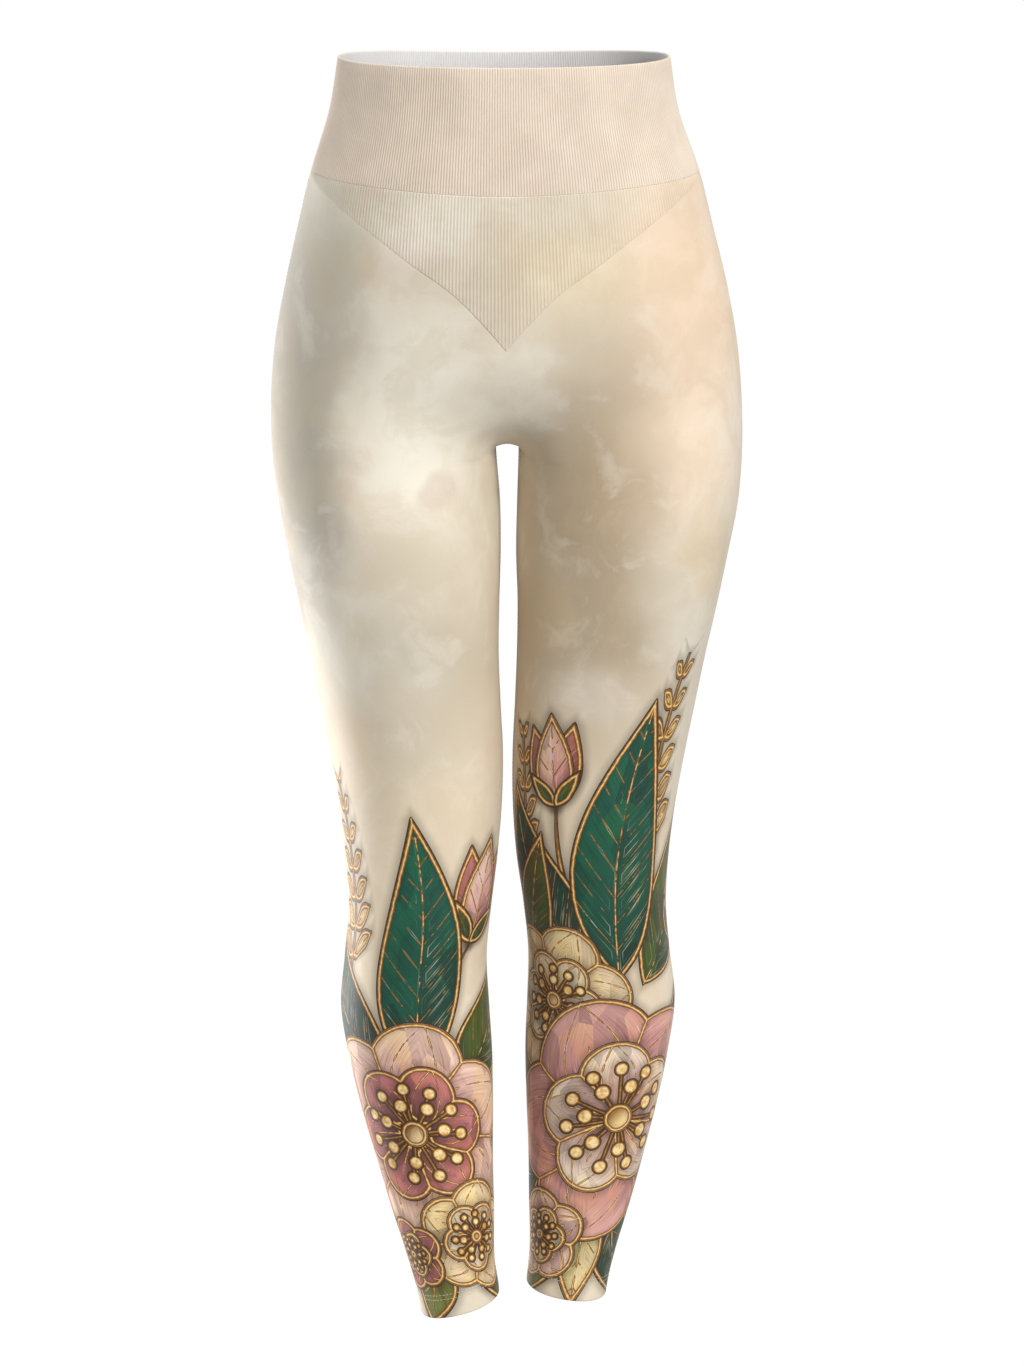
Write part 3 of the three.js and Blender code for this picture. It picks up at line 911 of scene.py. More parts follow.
@dataclass(frozen=True)
class Waistband:
    """The deep band of rib knit, doubled over so that its top edge is a fold."""

    ribs: Ribs = Ribs(375)
    cloth: float = 2.4
    seam_gap: float = 0.1
    outer_rows: int = 12
    fold_rows: int = 6
    inner_rows: int = 8
    seam_roll: float = 0.15
    wave: float = 0.25
    wave_height: float = 26
    half_round: float = 345
    inner_relief: float = 0.6

    def section(self, depth: np.ndarray) -> tuple[np.ndarray, np.ndarray, np.ndarray]:
        """Trace the band's cross-section from its lower edge up, over the fold and down inside.

        Args:
            depth: The band's depth at each column.

        Returns:
            How far down each point lies, rows first, and for each row how far in it lies and how much
            of the ribs it shows.
        """
        half = self.cloth / 2
        rise = np.linspace(1, 0, self.outer_rows + 1)[:, None]
        near = np.array([0.4, 1.1])[:, None]
        down = depth[None] - half
        outer = half + rise * down
        outer = np.vstack([outer[:1], outer[:1] - near, outer[1:]])
        turn = np.linspace(0, math.pi, self.fold_rows + 1)[1:-1, None]
        fold = half - half * np.sin(turn) + 0 * depth[None]
        inner = half + np.linspace(0, 1, self.inner_rows + 1)[:, None] * down
        downs = np.vstack([outer, fold, inner, outer[:1]])
        over = (half - half * np.cos(turn))[:, 0]
        into = np.concatenate([np.zeros(len(outer)), over, np.full(len(inner), self.cloth), [0]])
        into[0] = into[-1] = self.seam_roll
        into[1] = self.seam_roll * 0.35
        fading = np.linspace(1, self.inner_relief, len(turn))
        inside = np.full(len(inner), self.inner_relief)
        shows = np.concatenate([np.ones(len(outer)), fading, inside, [1]])
        shows[0] = shows[-1] = 0.4
        return downs, into, shows

    def build(self, finishes: Sequence[bpy.types.Material]) -> bpy.types.Object:
        """Build the band, with its inside's material second.

        Args:
            finishes: Its materials, with the inside's last.

        Returns:
            The piece.
        """
        columns = self.ribs.count * self.ribs.across
        turn = np.linspace(-1, 1, columns + 1)
        share = np.abs(turn)
        downs, into, shows = self.section(FIGURE.rim(share) - FIGURE.band_seam(share) - self.seam_gap)
        z = FIGURE.rim(share)[None] - downs
        ribs = shows[:, None] * self.ribs.dips()[None]
        wave = self.wave * np.sin(3 * np.pi * turn + 1)[None] * np.sin(-z / self.wave_height)
        away = wave - into[:, None] - ribs * np.where(into[:, None] > self.cloth / 2, -1, 1)
        points = laid_round(turn, z, away)
        points[:, -1] = points[:, 0]
        inside = len(into) - self.inner_rows - 1
        shell = Shell("waistband_knit", 0)
        around = np.broadcast_to(turn * self.half_round, z.shape)
        printed = np.stack([around, z + into[:, None]], axis=-1)
        shell.lay(
            Patch(
                points=points,
                printed=printed,
                block=(0.003, 0.003, 0.997, 0.997),
                flipped=False,
                thick=np.zeros(z.shape),
                dips=ribs,
            )
        )
        for face in shell.bm.faces:
            rows = [1 - (loop[shell.bake_map].uv.y - 0.003) / 0.994 for loop in face.loops]
            row = sum(rows) / 4 * (len(into) - 1)
            face.material_index = 1 if row > inside - self.fold_rows / 2 + 0.4 else 0
        shell.weld(0.001)
        piece = shell.piece(finishes)
        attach(piece, "root")
        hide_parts("waistband")
        return piece


@dataclass(frozen=True)
class Yoke:
    """The triangle of rib knit set into the front, its point down."""

    ribs: Ribs = Ribs(164, relief=0.34)
    rows: int = 18
    cloth: float = 1.4
    end: float = 0.4925
    seam_dip: float = 0.12
    edge_dip: float = 0.04

    def build(self, finishes: Sequence[bpy.types.Material]) -> bpy.types.Object:
        """Build the yoke with its own material and the lining.

        Args:
            finishes: Its materials, with the inside's last.

        Returns:
            The piece.
        """
        turn = np.linspace(-self.end, self.end, self.ribs.count * self.ribs.across + 1)
        share = np.abs(turn)
        top, bottom = FIGURE.band_seam(share), FIGURE.yoke_edge(share)
        even = np.linspace(0.06, 0.94, self.rows - 5)
        down = np.concatenate([[0, 0.012, 0.03], even, [0.97, 0.988, 1]])
        z = top[None] + down[:, None] * (bottom - top)[None]
        away = -self.seam_dip * bell(top[None] - z, 1.3) - self.edge_dip * bell(z - bottom[None], 1.0)
        points = laid_round(turn, z, away)
        around = np.broadcast_to(turn * FIGURE.girth(z.mean(axis=0)), z.shape)
        fade = np.minimum(1, (z - bottom[None]) / 1.5)
        shell = Shell("yoke_knit", 0.5)
        shell.lay(
            Patch(
                points=points,
                printed=np.stack([around, z], axis=-1),
                block=(0.01, 0.02, 0.49, 0.98),
                flipped=True,
                thick=np.full(z.shape, self.cloth),
                dips=self.ribs.dips()[None] * fade,
            )
        )
        shell.weld(0.001)
        shell.thicken(len(finishes) - 1)
        piece = shell.piece(finishes)
        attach(piece, "root")
        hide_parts("rib_yoke")
        return piece


class Number:
    """A number in a node tree. What is worked out with it adds the Math nodes that do so."""

    def __init__(self, graph: "Graph", socket: Socket) -> None:
        """Take the graph and the output that carries the number."""
        self.graph, self.socket = graph, socket

    def apply(self, operation: str, *others: Value) -> "Number":
        """Add a Math node on this number and others."""
        return self.graph.math(operation, self, *others)

    def __add__(self, other: Value) -> "Number":
        """Add a number to this one."""
        return self.apply("ADD", other)

    def __sub__(self, other: Value) -> "Number":
        """Take a number from this one."""
        return self.apply("SUBTRACT", other)

    def __rsub__(self, other: float) -> "Number":
        """Take this number from another."""
        return self.graph.math("SUBTRACT", other, self)

    def __mul__(self, other: Value) -> "Number":
        """Multiply this number."""
        return self.apply("MULTIPLY", other)

    def __truediv__(self, other: Value) -> "Number":
        """Divide this number."""
        return self.apply("DIVIDE", other)

    def __rtruediv__(self, other: float) -> "Number":
        """Divide another number by this one."""
        return self.graph.math("DIVIDE", other, self)

    def __abs__(self) -> "Number":
        """Drop the sign."""
        return self.apply("ABSOLUTE")

    def scaled(self, by: Value, plus: Value) -> "Number":
        """Multiply by one number and add another."""
        return self.apply("MULTIPLY_ADD", by, plus)

    def least(self, other: Value) -> "Number":
        """Keep the smaller of two numbers."""
        return self.apply("MINIMUM", other)

    def most(self, other: Value) -> "Number":
        """Keep the larger of two numbers."""
        return self.apply("MAXIMUM", other)

    def far(self, other: Value) -> "Number":
        """Give how far from the middle a place lies, with this and another as coordinates."""
        reach = self.graph.vector("LENGTH", self.graph.xyz(self, other))
        return Number(self.graph, reach.outputs["Value"])

    def clamped(self) -> "Number":
        """Keep the number that was just worked out between 0 and 1."""
        self.socket.node.use_clamp = True
        return self


class Graph:
    """A node tree that is being wired, with a short call for each kind of node."""

    def __init__(self, tree: bpy.types.NodeTree) -> None:
        """Take the tree to add nodes to."""
        self.tree = tree

    def add(self, kind: str, **settings: object) -> bpy.types.Node:
        """Add a node of a kind with some of its settings.

        Args:
            kind: Blender's name of the kind.
            **settings: What to set on it.

        Returns:
            The node.
        """
        node = self.tree.nodes.new(kind)
        for name, value in settings.items():
            setattr(node, name, value)
        return node

    def join(self, socket: Socket, value: object) -> None:
        """Link a socket to an output, or set its own value.

        Args:
            socket: The input.
            value: The output, or a value of the input's own type.
        """
        if isinstance(value, Number):
            value = value.socket
        if isinstance(value, bpy.types.NodeSocket):
            self.tree.links.new(value, socket)
        else:
            socket.default_value = value

    def plug(self, node: bpy.types.Node, values: dict[str, object]) -> bpy.types.Node:
        """Link or set a node's inputs by name, and return it.

        Args:
            node: The node.
            values: An output or a value for each name.

        Returns:
            The same node.
        """
        for name, value in values.items():
            self.join(node.inputs[name], value)
        return node

    def math(self, operation: str, *values: Value) -> Number:
        """Add a Math node on numbers or sockets.

        Args:
            operation: Blender's name of the operation.
            *values: Its numbers in order.

        Returns:
            The result.
        """
        node = self.add("ShaderNodeMath", operation=operation)
        for socket, value in zip(node.inputs, values):
            self.join(socket, value)
        return Number(self, node.outputs[0])

    def vector(self, operation: str, *values: object) -> bpy.types.Node:
        """Add a Vector Math node.

        Args:
            operation: Blender's name of the operation.
            *values: Its inputs in order.

        Returns:
            The node.
        """
        node = self.add("ShaderNodeVectorMath", operation=operation)
        slots = [0, 3] if operation == "SCALE" else [0, 1, 2]
        for index, value in zip(slots, values):
            self.join(node.inputs[index], value)
        return node

    def place(self) -> Socket:
        """Give the place on the piece."""
        return self.add("ShaderNodeTexCoord").outputs["Object"]

    def xyz(self, x: Value, y: Value = 0.0, z: Value = 0.0) -> Socket:
        """Put three numbers together."""
        node = self.add("ShaderNodeCombineXYZ")
        return self.plug(node, {"X": x, "Y": y, "Z": z}).outputs[0]

    def split(self, value: Socket) -> tuple[Number, ...]:
        """Take three numbers apart.

        Args:
            value: The output that carries them.

        Returns:
            The numbers.
        """
        node = self.add("ShaderNodeSeparateXYZ")
        self.join(node.inputs[0], value)
        return tuple(Number(self, output) for output in node.outputs)

    def turned(self, place: Socket, angle: Value) -> tuple[Number, ...]:
        """Turn a place about Z and take its three numbers apart."""
        node = self.add("ShaderNodeVectorRotate", rotation_type="Z_AXIS")
        return self.split(self.plug(node, {"Vector": place, "Angle": angle}).outputs[0])

    def ramp(
        self,
        value: Value,
        start: float,
        end: float,
        low: float = 0.0,
        high: float = 1.0,
        soft: bool = True,
    ) -> Number:
        """Map a number from one range to another, clamped.

        Args:
            value: The number.
            start: Where the first range starts.
            end: Where it ends.
            low: What start becomes.
            high: What end becomes.
            soft: Whether it eases in and out.

        Returns:
            The new number.
        """
        node = self.add("ShaderNodeMapRange", interpolation_type="SMOOTHSTEP" if soft else "LINEAR")
        for socket, item in zip(node.inputs[:5], (value, start, end, low, high)):
            self.join(socket, item)
        return Number(self, node.outputs[0])

    def blend(
        self, factor: Value, a: object, b: object, mode: str = "MIX", kind: str = "RGBA"
    ) -> Socket:
        """Mix two colours, or two vectors.

        Args:
            factor: How much of the second.
            a: The first.
            b: The second.
            mode: How colours are mixed.
            kind: RGBA or VECTOR.

        Returns:
            The mixture.
        """
        node = self.add("ShaderNodeMix", data_type=kind, clamp_factor=True)
        slots = (4, 5, 1)
        if kind == "RGBA":
            node.blend_type = mode
            slots, a, b = (6, 7, 2), shade(a), shade(b)
        for index, value in zip((0, *slots), (factor, a, b)):
            self.join(node.inputs[index], value)
        return node.outputs[slots[2]]

    def noise(
        self, place: Socket, scale: float, detail: float = 2.0, rough: float = 0.5, warp: float = 0.0
    ) -> bpy.types.Node:
        """Add soft noise.

        Args:
            place: Where it is read.
            scale: How fine it is.
            detail: How many finer layers it has.
            rough: How strong those are.
            warp: How far it is distorted.

        Returns:
            The node.
        """
        values = {"Vector": place, "Scale": scale, "Detail": detail}
        values |= {"Roughness": rough, "Distortion": warp}
        return self.plug(self.add("ShaderNodeTexNoise"), values)

    def cloud(self, place: Socket, scale: float, *shape: float) -> Number:
        """Give soft noise as one number."""
        return Number(self, self.noise(place, scale, *shape).outputs["Fac"])

    def colours(self, value: Value, stops: Sequence[tuple[float, Rgb]]) -> Socket:
        """Colour a number by some stops.

        Args:
            value: The number.
            stops: Places from 0 to 1 and their colours.

        Returns:
            The colour.
        """
        node = self.add("ShaderNodeValToRGB")
        ramp = node.color_ramp
        for n, (place, colour) in enumerate(stops):
            stop = ramp.elements[n] if n < 2 else ramp.elements.new(place)
            stop.position, stop.color = place, shade(colour)
        self.join(node.inputs[0], value)
        return node.outputs[0]

    def finish(self, values: dict[str, object]) -> None:
        """End a material with a surface of these values."""
        shader = self.plug(self.add("ShaderNodeBsdfPrincipled"), values)
        self.join(self.add("ShaderNodeOutputMaterial").inputs["Surface"], shader.outputs[0])

    def group(self, tree: bpy.types.NodeTree, values: dict[str, object]) -> bpy.types.Node:
        """Add a group with those of the values that it takes."""
        node = self.add("ShaderNodeGroup", node_tree=tree)
        return self.plug(node, {name: value for name, value in values.items() if name in node.inputs})


def shade(colour: object) -> object:
    """Turn a colour as seen, 0 to 255, into the shader's own, or pass a socket on.

    Args:
        colour: Three numbers, four that are the shader's already, or an output.

    Returns:
        What an input takes.
    """
    if isinstance(colour, bpy.types.NodeSocket) or len(colour) == 4:
        return colour
    return (*(((v / 255 + 0.055) / 1.055) ** 2.4 if v > 10 else v / 255 / 12.92 for v in colour), 1.0)


def new_group(
    name: str, takes: dict[str, str], gives: dict[str, str]
) -> tuple[Graph, bpy.types.Node, bpy.types.Node]:
    """Start a node group.

    Args:
        name: Its name.
        takes: Its inputs and their kinds.
        gives: Its outputs and their kinds.

    Returns:
        The graph to wire, and the group's input and output nodes.
    """
    tree = bpy.data.node_groups.new(name, "ShaderNodeTree")
    for way, sockets in (("INPUT", takes), ("OUTPUT", gives)):
        for label, kind in sockets.items():
            tree.interface.new_socket(name=label, in_out=way, socket_type="NodeSocket" + kind)
    graph = Graph(tree)
    return graph, graph.add("NodeGroupInput"), graph.add("NodeGroupOutput")


STATE = {"Cloth": "Vector", "Shape": "Vector", "Colour": "Color"}


class MotifKind(Enum):
    """The kinds of motif in the print."""

    LEAF = "leaf"
    PETALS = "petals"
    STAMENS = "stamens"
    FROND = "frond"
    BEAD = "bead"


@dataclass(frozen=True)
class Motif:
    """One motif on a leg's cloth, or a ring of like petals round one place.

    Args:
        kind: What it is.
        place: Where it starts or is centred, across the cloth and down from the waist.
        turn: Which way it points, in degrees from across.
        length: How long it is, or a ring's reach.
        width: Half its width.
        base: Its colour where it starts.
        tip: Its colour at its end.
        bend: How far it bows aside.
        count: How many petals a ring has, or 0 for a leaf with a plain middle.
    """

    kind: MotifKind
    place: tuple[float, float]
    turn: float
    length: float
    width: float
    base: Rgb
    tip: Rgb
    bend: float = 0
    count: int = 1

    @property
    def levels(self) -> tuple[float, float]:
        """The lowest and highest level that it can reach.

        Returns:
            The two heights in millimetres.
        """
        reach = self.length + self.width + 12
        if self.kind in (MotifKind.LEAF, MotifKind.FROND):
            end = self.place[1] + self.length * math.sin(math.radians(self.turn))
            reach = (1.6 if self.kind is MotifKind.FROND else 1.0) * self.width + abs(self.bend) + 12
            return min(self.place[1], end) - reach, max(self.place[1], end) + reach
        return self.place[1] - reach, self.place[1] + reach


class Brush(NamedTuple):
    """The node group of a motif, with its input and output nodes."""

    graph: Graph
    given: bpy.types.Node
    made: bpy.types.Node


class MotifNodes:
    """The node groups that draw each kind of motif over what lies under it.

    Each keeps three numbers for a place on the cloth: how far inside a motif's outline it is, how far
    from its nearest vein, and how far along it is, with the motif's colour there.
    """

    edge = 1.25
    shadow = 9.0
    no_vein = 50.0

    def __init__(self) -> None:
        """Make the groups."""
        self.trees = {kind: getattr(self, kind.value)() for kind in MotifKind}

    def start(self, name: str, *sizes: str) -> tuple:
        """Start a group and bring the place on the cloth into the motif's own frame.

        Args:
            name: The group's name.
            sizes: The sizes that it takes, besides its place and turn.

        Returns:
            The brush, the place's two coordinates and the sizes.
        """
        takes = STATE | {"Place": "Vector", "Turn": "Float"} | dict.fromkeys(sizes, "Float")
        takes |= {"Base": "Color", "Tip": "Color"}
        graph, given, made = new_group(name, takes, {"Shape": "Vector", "Colour": "Color"})
        off = graph.vector("SUBTRACT", given.outputs["Cloth"], given.outputs["Place"]).outputs[0]
        x, y, _ = graph.turned(off, given.outputs["Turn"])
        return Brush(graph, given, made), x, y, *(Number(graph, given.outputs[size]) for size in sizes)

    def over(self, brush: Brush, inside: Number, vein: Value, along: Number) -> bpy.types.NodeTree:
        """Lay the motif over what lies under it, with a soft shadow beside it.

        Args:
            brush: The motif's group.
            inside: How far inside its outline the place is.
            vein: How far from its nearest vein.
            along: How far along it.

        Returns:
            The finished group.
        """
        graph, given, made = brush
        mask = inside.apply("GREATER_THAN", -self.edge)
        fill = graph.blend((along * 1.0).clamped(), given.outputs["Base"], given.outputs["Tip"])
        dim = graph.ramp(inside, -self.shadow, 0.0, 0.0, 0.42)
        under = graph.blend(dim, given.outputs["Colour"], (58, 44, 26))
        new = graph.xyz(inside, vein, along)
        shape = graph.blend(mask, given.outputs["Shape"], new, kind="VECTOR")
        graph.plug(made, {"Colour": graph.blend(mask, under, fill), "Shape": shape})
        return graph.tree

    def leaf(self) -> bpy.types.NodeTree:
        """Draw a pointed leaf with a midrib and slanting side veins.

        Returns:
            The group.
        """
        brush, x, y, length, setback, radius, bend, veins = self.start(
            "leaf", "Length", "Setback", "Radius", "Bend", "Veins"
        )
        t = (x / length).clamped()
        bow = t * (1.0 - t) * 4.0
        bowed = y - bow * bend
        off = abs(bowed)
        centred = length.scaled(-0.5, (bow * length).scaled(0.11, x))
        inside = radius - centred.far(off + setback)
        beat = off.scaled(-1.25, x).scaled(1 / 21, 0.4).apply("FRACT")
        side = abs(beat - 0.5).scaled(13.0, 0.35)
        bare = 1.0 - veins
        vein = bare.scaled(self.no_vein, side).least(bare.scaled(self.no_vein, off))
        return self.over(brush, inside, vein, bowed.apply("SIGN").scaled(0.16, t))

    def folded(self, count: Number, x: Number, y: Number) -> tuple[Number, Number, Number]:
        """Fold a place round a centre into one petal.

        Args:
            count: How many petals there are.
            x: The place's first coordinate.
            y: Its second.

        Returns:
            How far along the petal it is, how far aside, and how far from the petal's border.
        """
        sector = 2 * math.pi / count
        beat = (y.apply("ARCTAN2", x) / sector + 0.5).apply("FRACT")
        fold = abs(beat - 0.5) * sector
        reach = x.far(y)
        border = reach * (sector * 0.5 - fold).apply("SINE")
        return reach * fold.apply("COSINE"), reach * fold.apply("SINE"), border

    def petals(self) -> bpy.types.NodeTree:
        """Draw a ring of rounded petals that meet along straight borders.

        Returns:
            The group.
        """
        names = ("Count", "Length", "Width", "Bend")
        brush, x, y, count, length, width, bend = self.start("petals", *names)
        graph = brush.graph
        x, y, _ = graph.turned(graph.xyz(x, y), x.far(y) * bend)
        along, aside, border = self.folded(count, x, y)
        inside = (width - (along - (length - width)).far(aside)).least(border + 1.5)
        t = along / length
        second = abs(aside - (t * math.pi).apply("SINE") * (width * 0.46))
        first = aside + graph.ramp(t, 0.62, 0.82, 0.0, 8.0)
        return self.over(brush, inside, first.least(second), t)

    def stamens(self) -> bpy.types.NodeTree:
        """Draw a ring of fine stalks with a round bead on each.

        Returns:
            The group.
        """
        brush, x, y, count, length, width = self.start("stamens", "Count", "Length", "Width")
        along, aside, _ = self.folded(count, x, y)
        off = along - length
        bead = width - off.far(aside)
        stalk = (0.75 - aside).least(off * -1.0)
        return self.over(brush, bead.most(stalk).least(1.3), self.no_vein, bead * 0.2)

    def frond(self) -> bpy.types.NodeTree:
        """Draw a bowed stem with pairs of small leaves along it.

        Returns:
            The group.
        """
        brush, x, y, length, width, bend = self.start("frond", "Length", "Width", "Bend")
        t = x / length
        left = 1.0 - t
        off = abs(y - t * left * (bend * 4.0))
        size = brush.graph.ramp(t, 0.15, 1.0, 1.0, 0.45, soft=False)
        slant = off.scaled(-1.0, x)
        step = width * 1.15
        across = abs(((slant / step).apply("FRACT") - 0.5) * step * 0.707)
        away = off * 1.414
        long = width * 1.5 * size
        q = (away / long).clamped()
        blade = (q * math.pi).apply("SINE") * (long * 0.24) - across
        ends = (slant - 4.0).least((slant - length) * -6.0)
        blade = blade.least(ends.least(long - away))
        stalk = (0.9 - off).least(t.least(left) * length)
        return self.over(brush, blade.most(stalk), across + 0.3, q)

    def bead(self) -> bpy.types.NodeTree:
        """Draw a round bead."""
        brush, x, y, width = self.start("bead", "Width")
        return self.over(brush, width - x.far(y), self.no_vein, (x - y).scaled(0.06, 0.5))

    def draw(
        self, graph: Graph, motif: Motif, cloth: Socket, shape: Socket, colour: Socket
    ) -> tuple[Socket, Socket]:
        """Add one motif to a material.

        Args:
            graph: The material's graph.
            motif: What to draw.
            cloth: The place on the cloth.
            shape: The three numbers of what lies under the motif.
            colour: The colour of what lies under it.

        Returns:
            The new shape and colour.
        """
        values: dict[str, object] = {
            "Cloth": cloth,
            "Shape": shape,
            "Colour": colour,
            "Place": (*motif.place, 0),
            "Turn": -math.radians(motif.turn),
            "Length": motif.length,
            "Width": motif.width,
            "Bend": motif.bend,
            "Count": float(motif.count),
            "Base": shade(motif.base),
            "Tip": shade(motif.tip),
        }
        if motif.kind is MotifKind.LEAF:
            setback = (motif.length**2 / 4 - motif.width**2) / (2 * motif.width)
            values |= {"Setback": setback, "Radius": setback + motif.width, "Veins": float(motif.count)}
        node = graph.group(self.trees[motif.kind], values)
        return node.outputs["Shape"], node.outputs["Colour"]


class Blotch(NamedTuple):
    """A soft wash of colour laid on the ground of the print, placed on the front as seen: most are the
    print's own, a few are painted shade and painted light.
    """

    x: float
    z: float
    wide: float
    high: float
    colour: Rgb
    strength: float
    blur: float = 0.6


@dataclass(frozen=True)
class PrintGroundAndShade:
    """The ground of the print: ivory and cream washes that run softly into each other, with painted
    shade and painted light in a few of its washes.
    """

    light: Rgb = (234, 226, 209)
    dark: Rgb = (223, 211, 190)
    warm: Rgb = (229, 211, 188)
    stray: float = 0.05
    blotches: tuple[Blotch, ...] = (
        # Painted shade: this grey wash darkens the top of the left hip's outer side, where shade falls.
        Blotch(-150, -128, 50, 46, (212, 210, 190), 0.6),
        Blotch(-124, -152, 46, 22, (216, 200, 172), 0.5, 0.3),
        Blotch(-61, -133, 24, 14, (222, 199, 186), 0.6, 0.4),
        Blotch(-70, -116, 40, 26, (244, 234, 218), 0.8),
        # Painted shade: these two grey washes darken the outer side of the left hip and thigh, where
        # shade falls.
        Blotch(-146, -190, 44, 90, (184, 178, 164), 0.8),
        Blotch(-142, -318, 32, 116, (174, 168, 154), 0.9),
        # Painted light: this pale wash brightens the lit front of the left thigh.
        Blotch(-66, -255, 44, 100, (248, 241, 224), 0.8),
        Blotch(-60, -462, 60, 68, (178, 166, 143), 0.75),
        Blotch(-72, -368, 36, 44, (212, 200, 178), 0.6),
        Blotch(58, -150, 62, 40, (240, 223, 190), 0.8),
        Blotch(142, -150, 70, 120, (240, 210, 180), 0.75),
        Blotch(134, -262, 60, 110, (238, 212, 184), 0.6),
        Blotch(-52, -311, 19, 17, (218, 201, 186), 0.6, 0.3),
        # Partly print and partly painted shade: these two tan washes are the print's tan ground on the
        # right thigh, and darken its inner side, where shade falls.
        Blotch(72, -362, 56, 200, (170, 147, 115), 0.8),
        Blotch(24, -450, 34, 150, (204, 184, 152), 0.55),
        Blotch(-72, -515, 50, 62, (208, 198, 178), 0.6),
        Blotch(66, -478, 36, 26, (238, 228, 214), 0.4),
        Blotch(152, -372, 22, 40, (224, 202, 164), 0.55, 0.4),
        Blotch(-122, -521, 26, 48, (224, 202, 172), 0.5, 0.4),
        Blotch(38, -410, 16, 34, (214, 190, 150), 0.5, 0.3),
        Blotch(-80, -456, 50, 34, (236, 227, 212), 0.35),
        Blotch(-40, -560, 40, 30, (226, 210, 184), 0.5),
        Blotch(0, -780, 330, 320, (230, 210, 180), 0.7, 0.3),
        Blotch(-60, -945, 60, 30, (214, 204, 184), 0.8),
    )

    def tree(self) -> bpy.types.NodeTree:
        """Make the group that gives the ground's colour at a place on the object, its painted shade and
        painted light included.

        Returns:
            The group.
        """
        graph, _, made = new_group("print_ground_and_shade", {}, {"Colour": "Color"})
        place = graph.place()
        warp = graph.noise(place, 13, 3, 0.55).outputs["Color"]
        moved = graph.vector("MULTIPLY_ADD", warp, (self.stray,) * 3, place).outputs[0]
        broad = graph.cloud(moved, 7.5, 3, 0.5, 0.6)
        colour = graph.blend(graph.ramp(broad, 0.36, 0.66), self.dark, self.light)
        warmth = graph.cloud(moved, 11, 2, 0.5)
        colour = graph.blend(graph.ramp(warmth, 0.52, 0.72, 0.0, 0.6), colour, self.warm)
        x, _, z = graph.split(moved)
        half_stray = self.stray / MM / 2
        for blotch in self.blotches:
            across = x.scaled(1000 / blotch.wide, -(blotch.x + half_stray) / blotch.wide)
            down = z.scaled(1000 / blotch.high, -(blotch.z + half_stray) / blotch.high)
            outer, inner = 0.8 + blotch.blur, 0.8 - blotch.blur
            wash = graph.ramp(across.far(down), outer, inner, 0.0, blotch.strength)
            colour = graph.blend(wash, colour, blotch.colour)
        cloud = graph.cloud(moved, 21, 5, 0.62, 0.4)
        fleck = graph.cloud(moved, 46, 4, 0.6)
        for value, start, end, strength, wash in (
            (cloud, 0.54, 0.4, 0.22, (206, 186, 154)),
            (cloud, 0.52, 0.68, 0.26, (246, 238, 222)),
            (fleck, 0.55, 0.8, 0.22, (214, 196, 168)),
        ):
            colour = graph.blend(graph.ramp(value, start, end, 0.0, strength), colour, wash)
        graph.join(made.inputs["Colour"], colour)
        return graph.tree


@dataclass(frozen=True)
class Enamel:
    """How the motifs are painted: streaky pearly fills inside raised-looking gold lines."""

    highlight: Rgb = (250, 226, 168)
    gold: Rgb = (206, 152, 74)
    bronze: Rgb = (142, 92, 34)
    dark: Rgb = (56, 36, 14)
    outline: float = 1.45
    outline_half: float = 1.75
    vein_half: float = 0.95

    def tree(self) -> bpy.types.NodeTree:
        """Make the group that colours a place from its motif's shape and colour.

        Returns:
            The group.
        """
        graph, given, made = new_group("enamel", STATE, {"Colour": "Color"})
        drawn, vein, along = graph.split(given.outputs["Shape"])
        cloth = given.outputs["Cloth"]
        inside = (graph.cloud(cloth, 0.16, 2, 0.6) - 0.5).scaled(1.3, drawn)
        edge = abs(inside - self.outline) / self.outline_half
        broken = graph.ramp(graph.cloud(cloth, 0.11, 2, 0.6), 0.46, 0.62, 0.0, 0.9)
        line = edge.least(vein / self.vein_half + broken)
        lit = graph.cloud(cloth, 0.3, 2, 0.6).scaled(0.5, line - 0.25)
        metal = ((0.0, self.highlight), (0.22, self.gold), (0.6, self.bronze), (0.9, self.dark))
        gold = graph.colours(lit, metal)
        streak = graph.cloud(graph.xyz(vein * 0.75, along * 2.2, inside * 0.04), 1.0, 3, 0.6)
        cell = graph.vector("MULTIPLY", cloth, (0.07, 0.035, 0.0)).outputs[0]
        facets = graph.add("ShaderNodeTexVoronoi", feature="F1")
        graph.plug(facets, {"Vector": cell, "Scale": 1.0})
        facet = graph.split(facets.outputs["Color"])[0]
        fill = given.outputs["Colour"]
        for value, start, end, strength, colour, mode in (
            (streak, 0.5, 0.75, 0.42, (255, 246, 228), "SOFT_LIGHT"),
            (streak, 0.58, 0.76, 0.5, (252, 236, 212), "SCREEN"),
            (streak, 0.46, 0.28, 0.34, (70, 44, 30), "MULTIPLY"),
            (facet, 0.45, 1.0, 0.42, (214, 200, 140), "OVERLAY"),
            (facet, 0.5, 0.0, 0.5, (120, 104, 84), "MULTIPLY"),
            (inside, 7.5, 2.6, 0.3, (92, 58, 30), "MULTIPLY"),
        ):
            amount = graph.ramp(value, start, end, 0.0, strength, soft=value is not facet)
            fill = graph.blend(amount, fill, colour, mode)
        painted = graph.blend(graph.ramp(line, 0.86, 1.05), gold, fill)
        painted = graph.blend(graph.ramp(inside, -0.1, -0.7), painted, self.dark)
        here = drawn.apply("GREATER_THAN", -MotifNodes.edge)
        graph.join(made.inputs["Colour"], graph.blend(here, given.outputs["Colour"], painted))
        return graph.tree


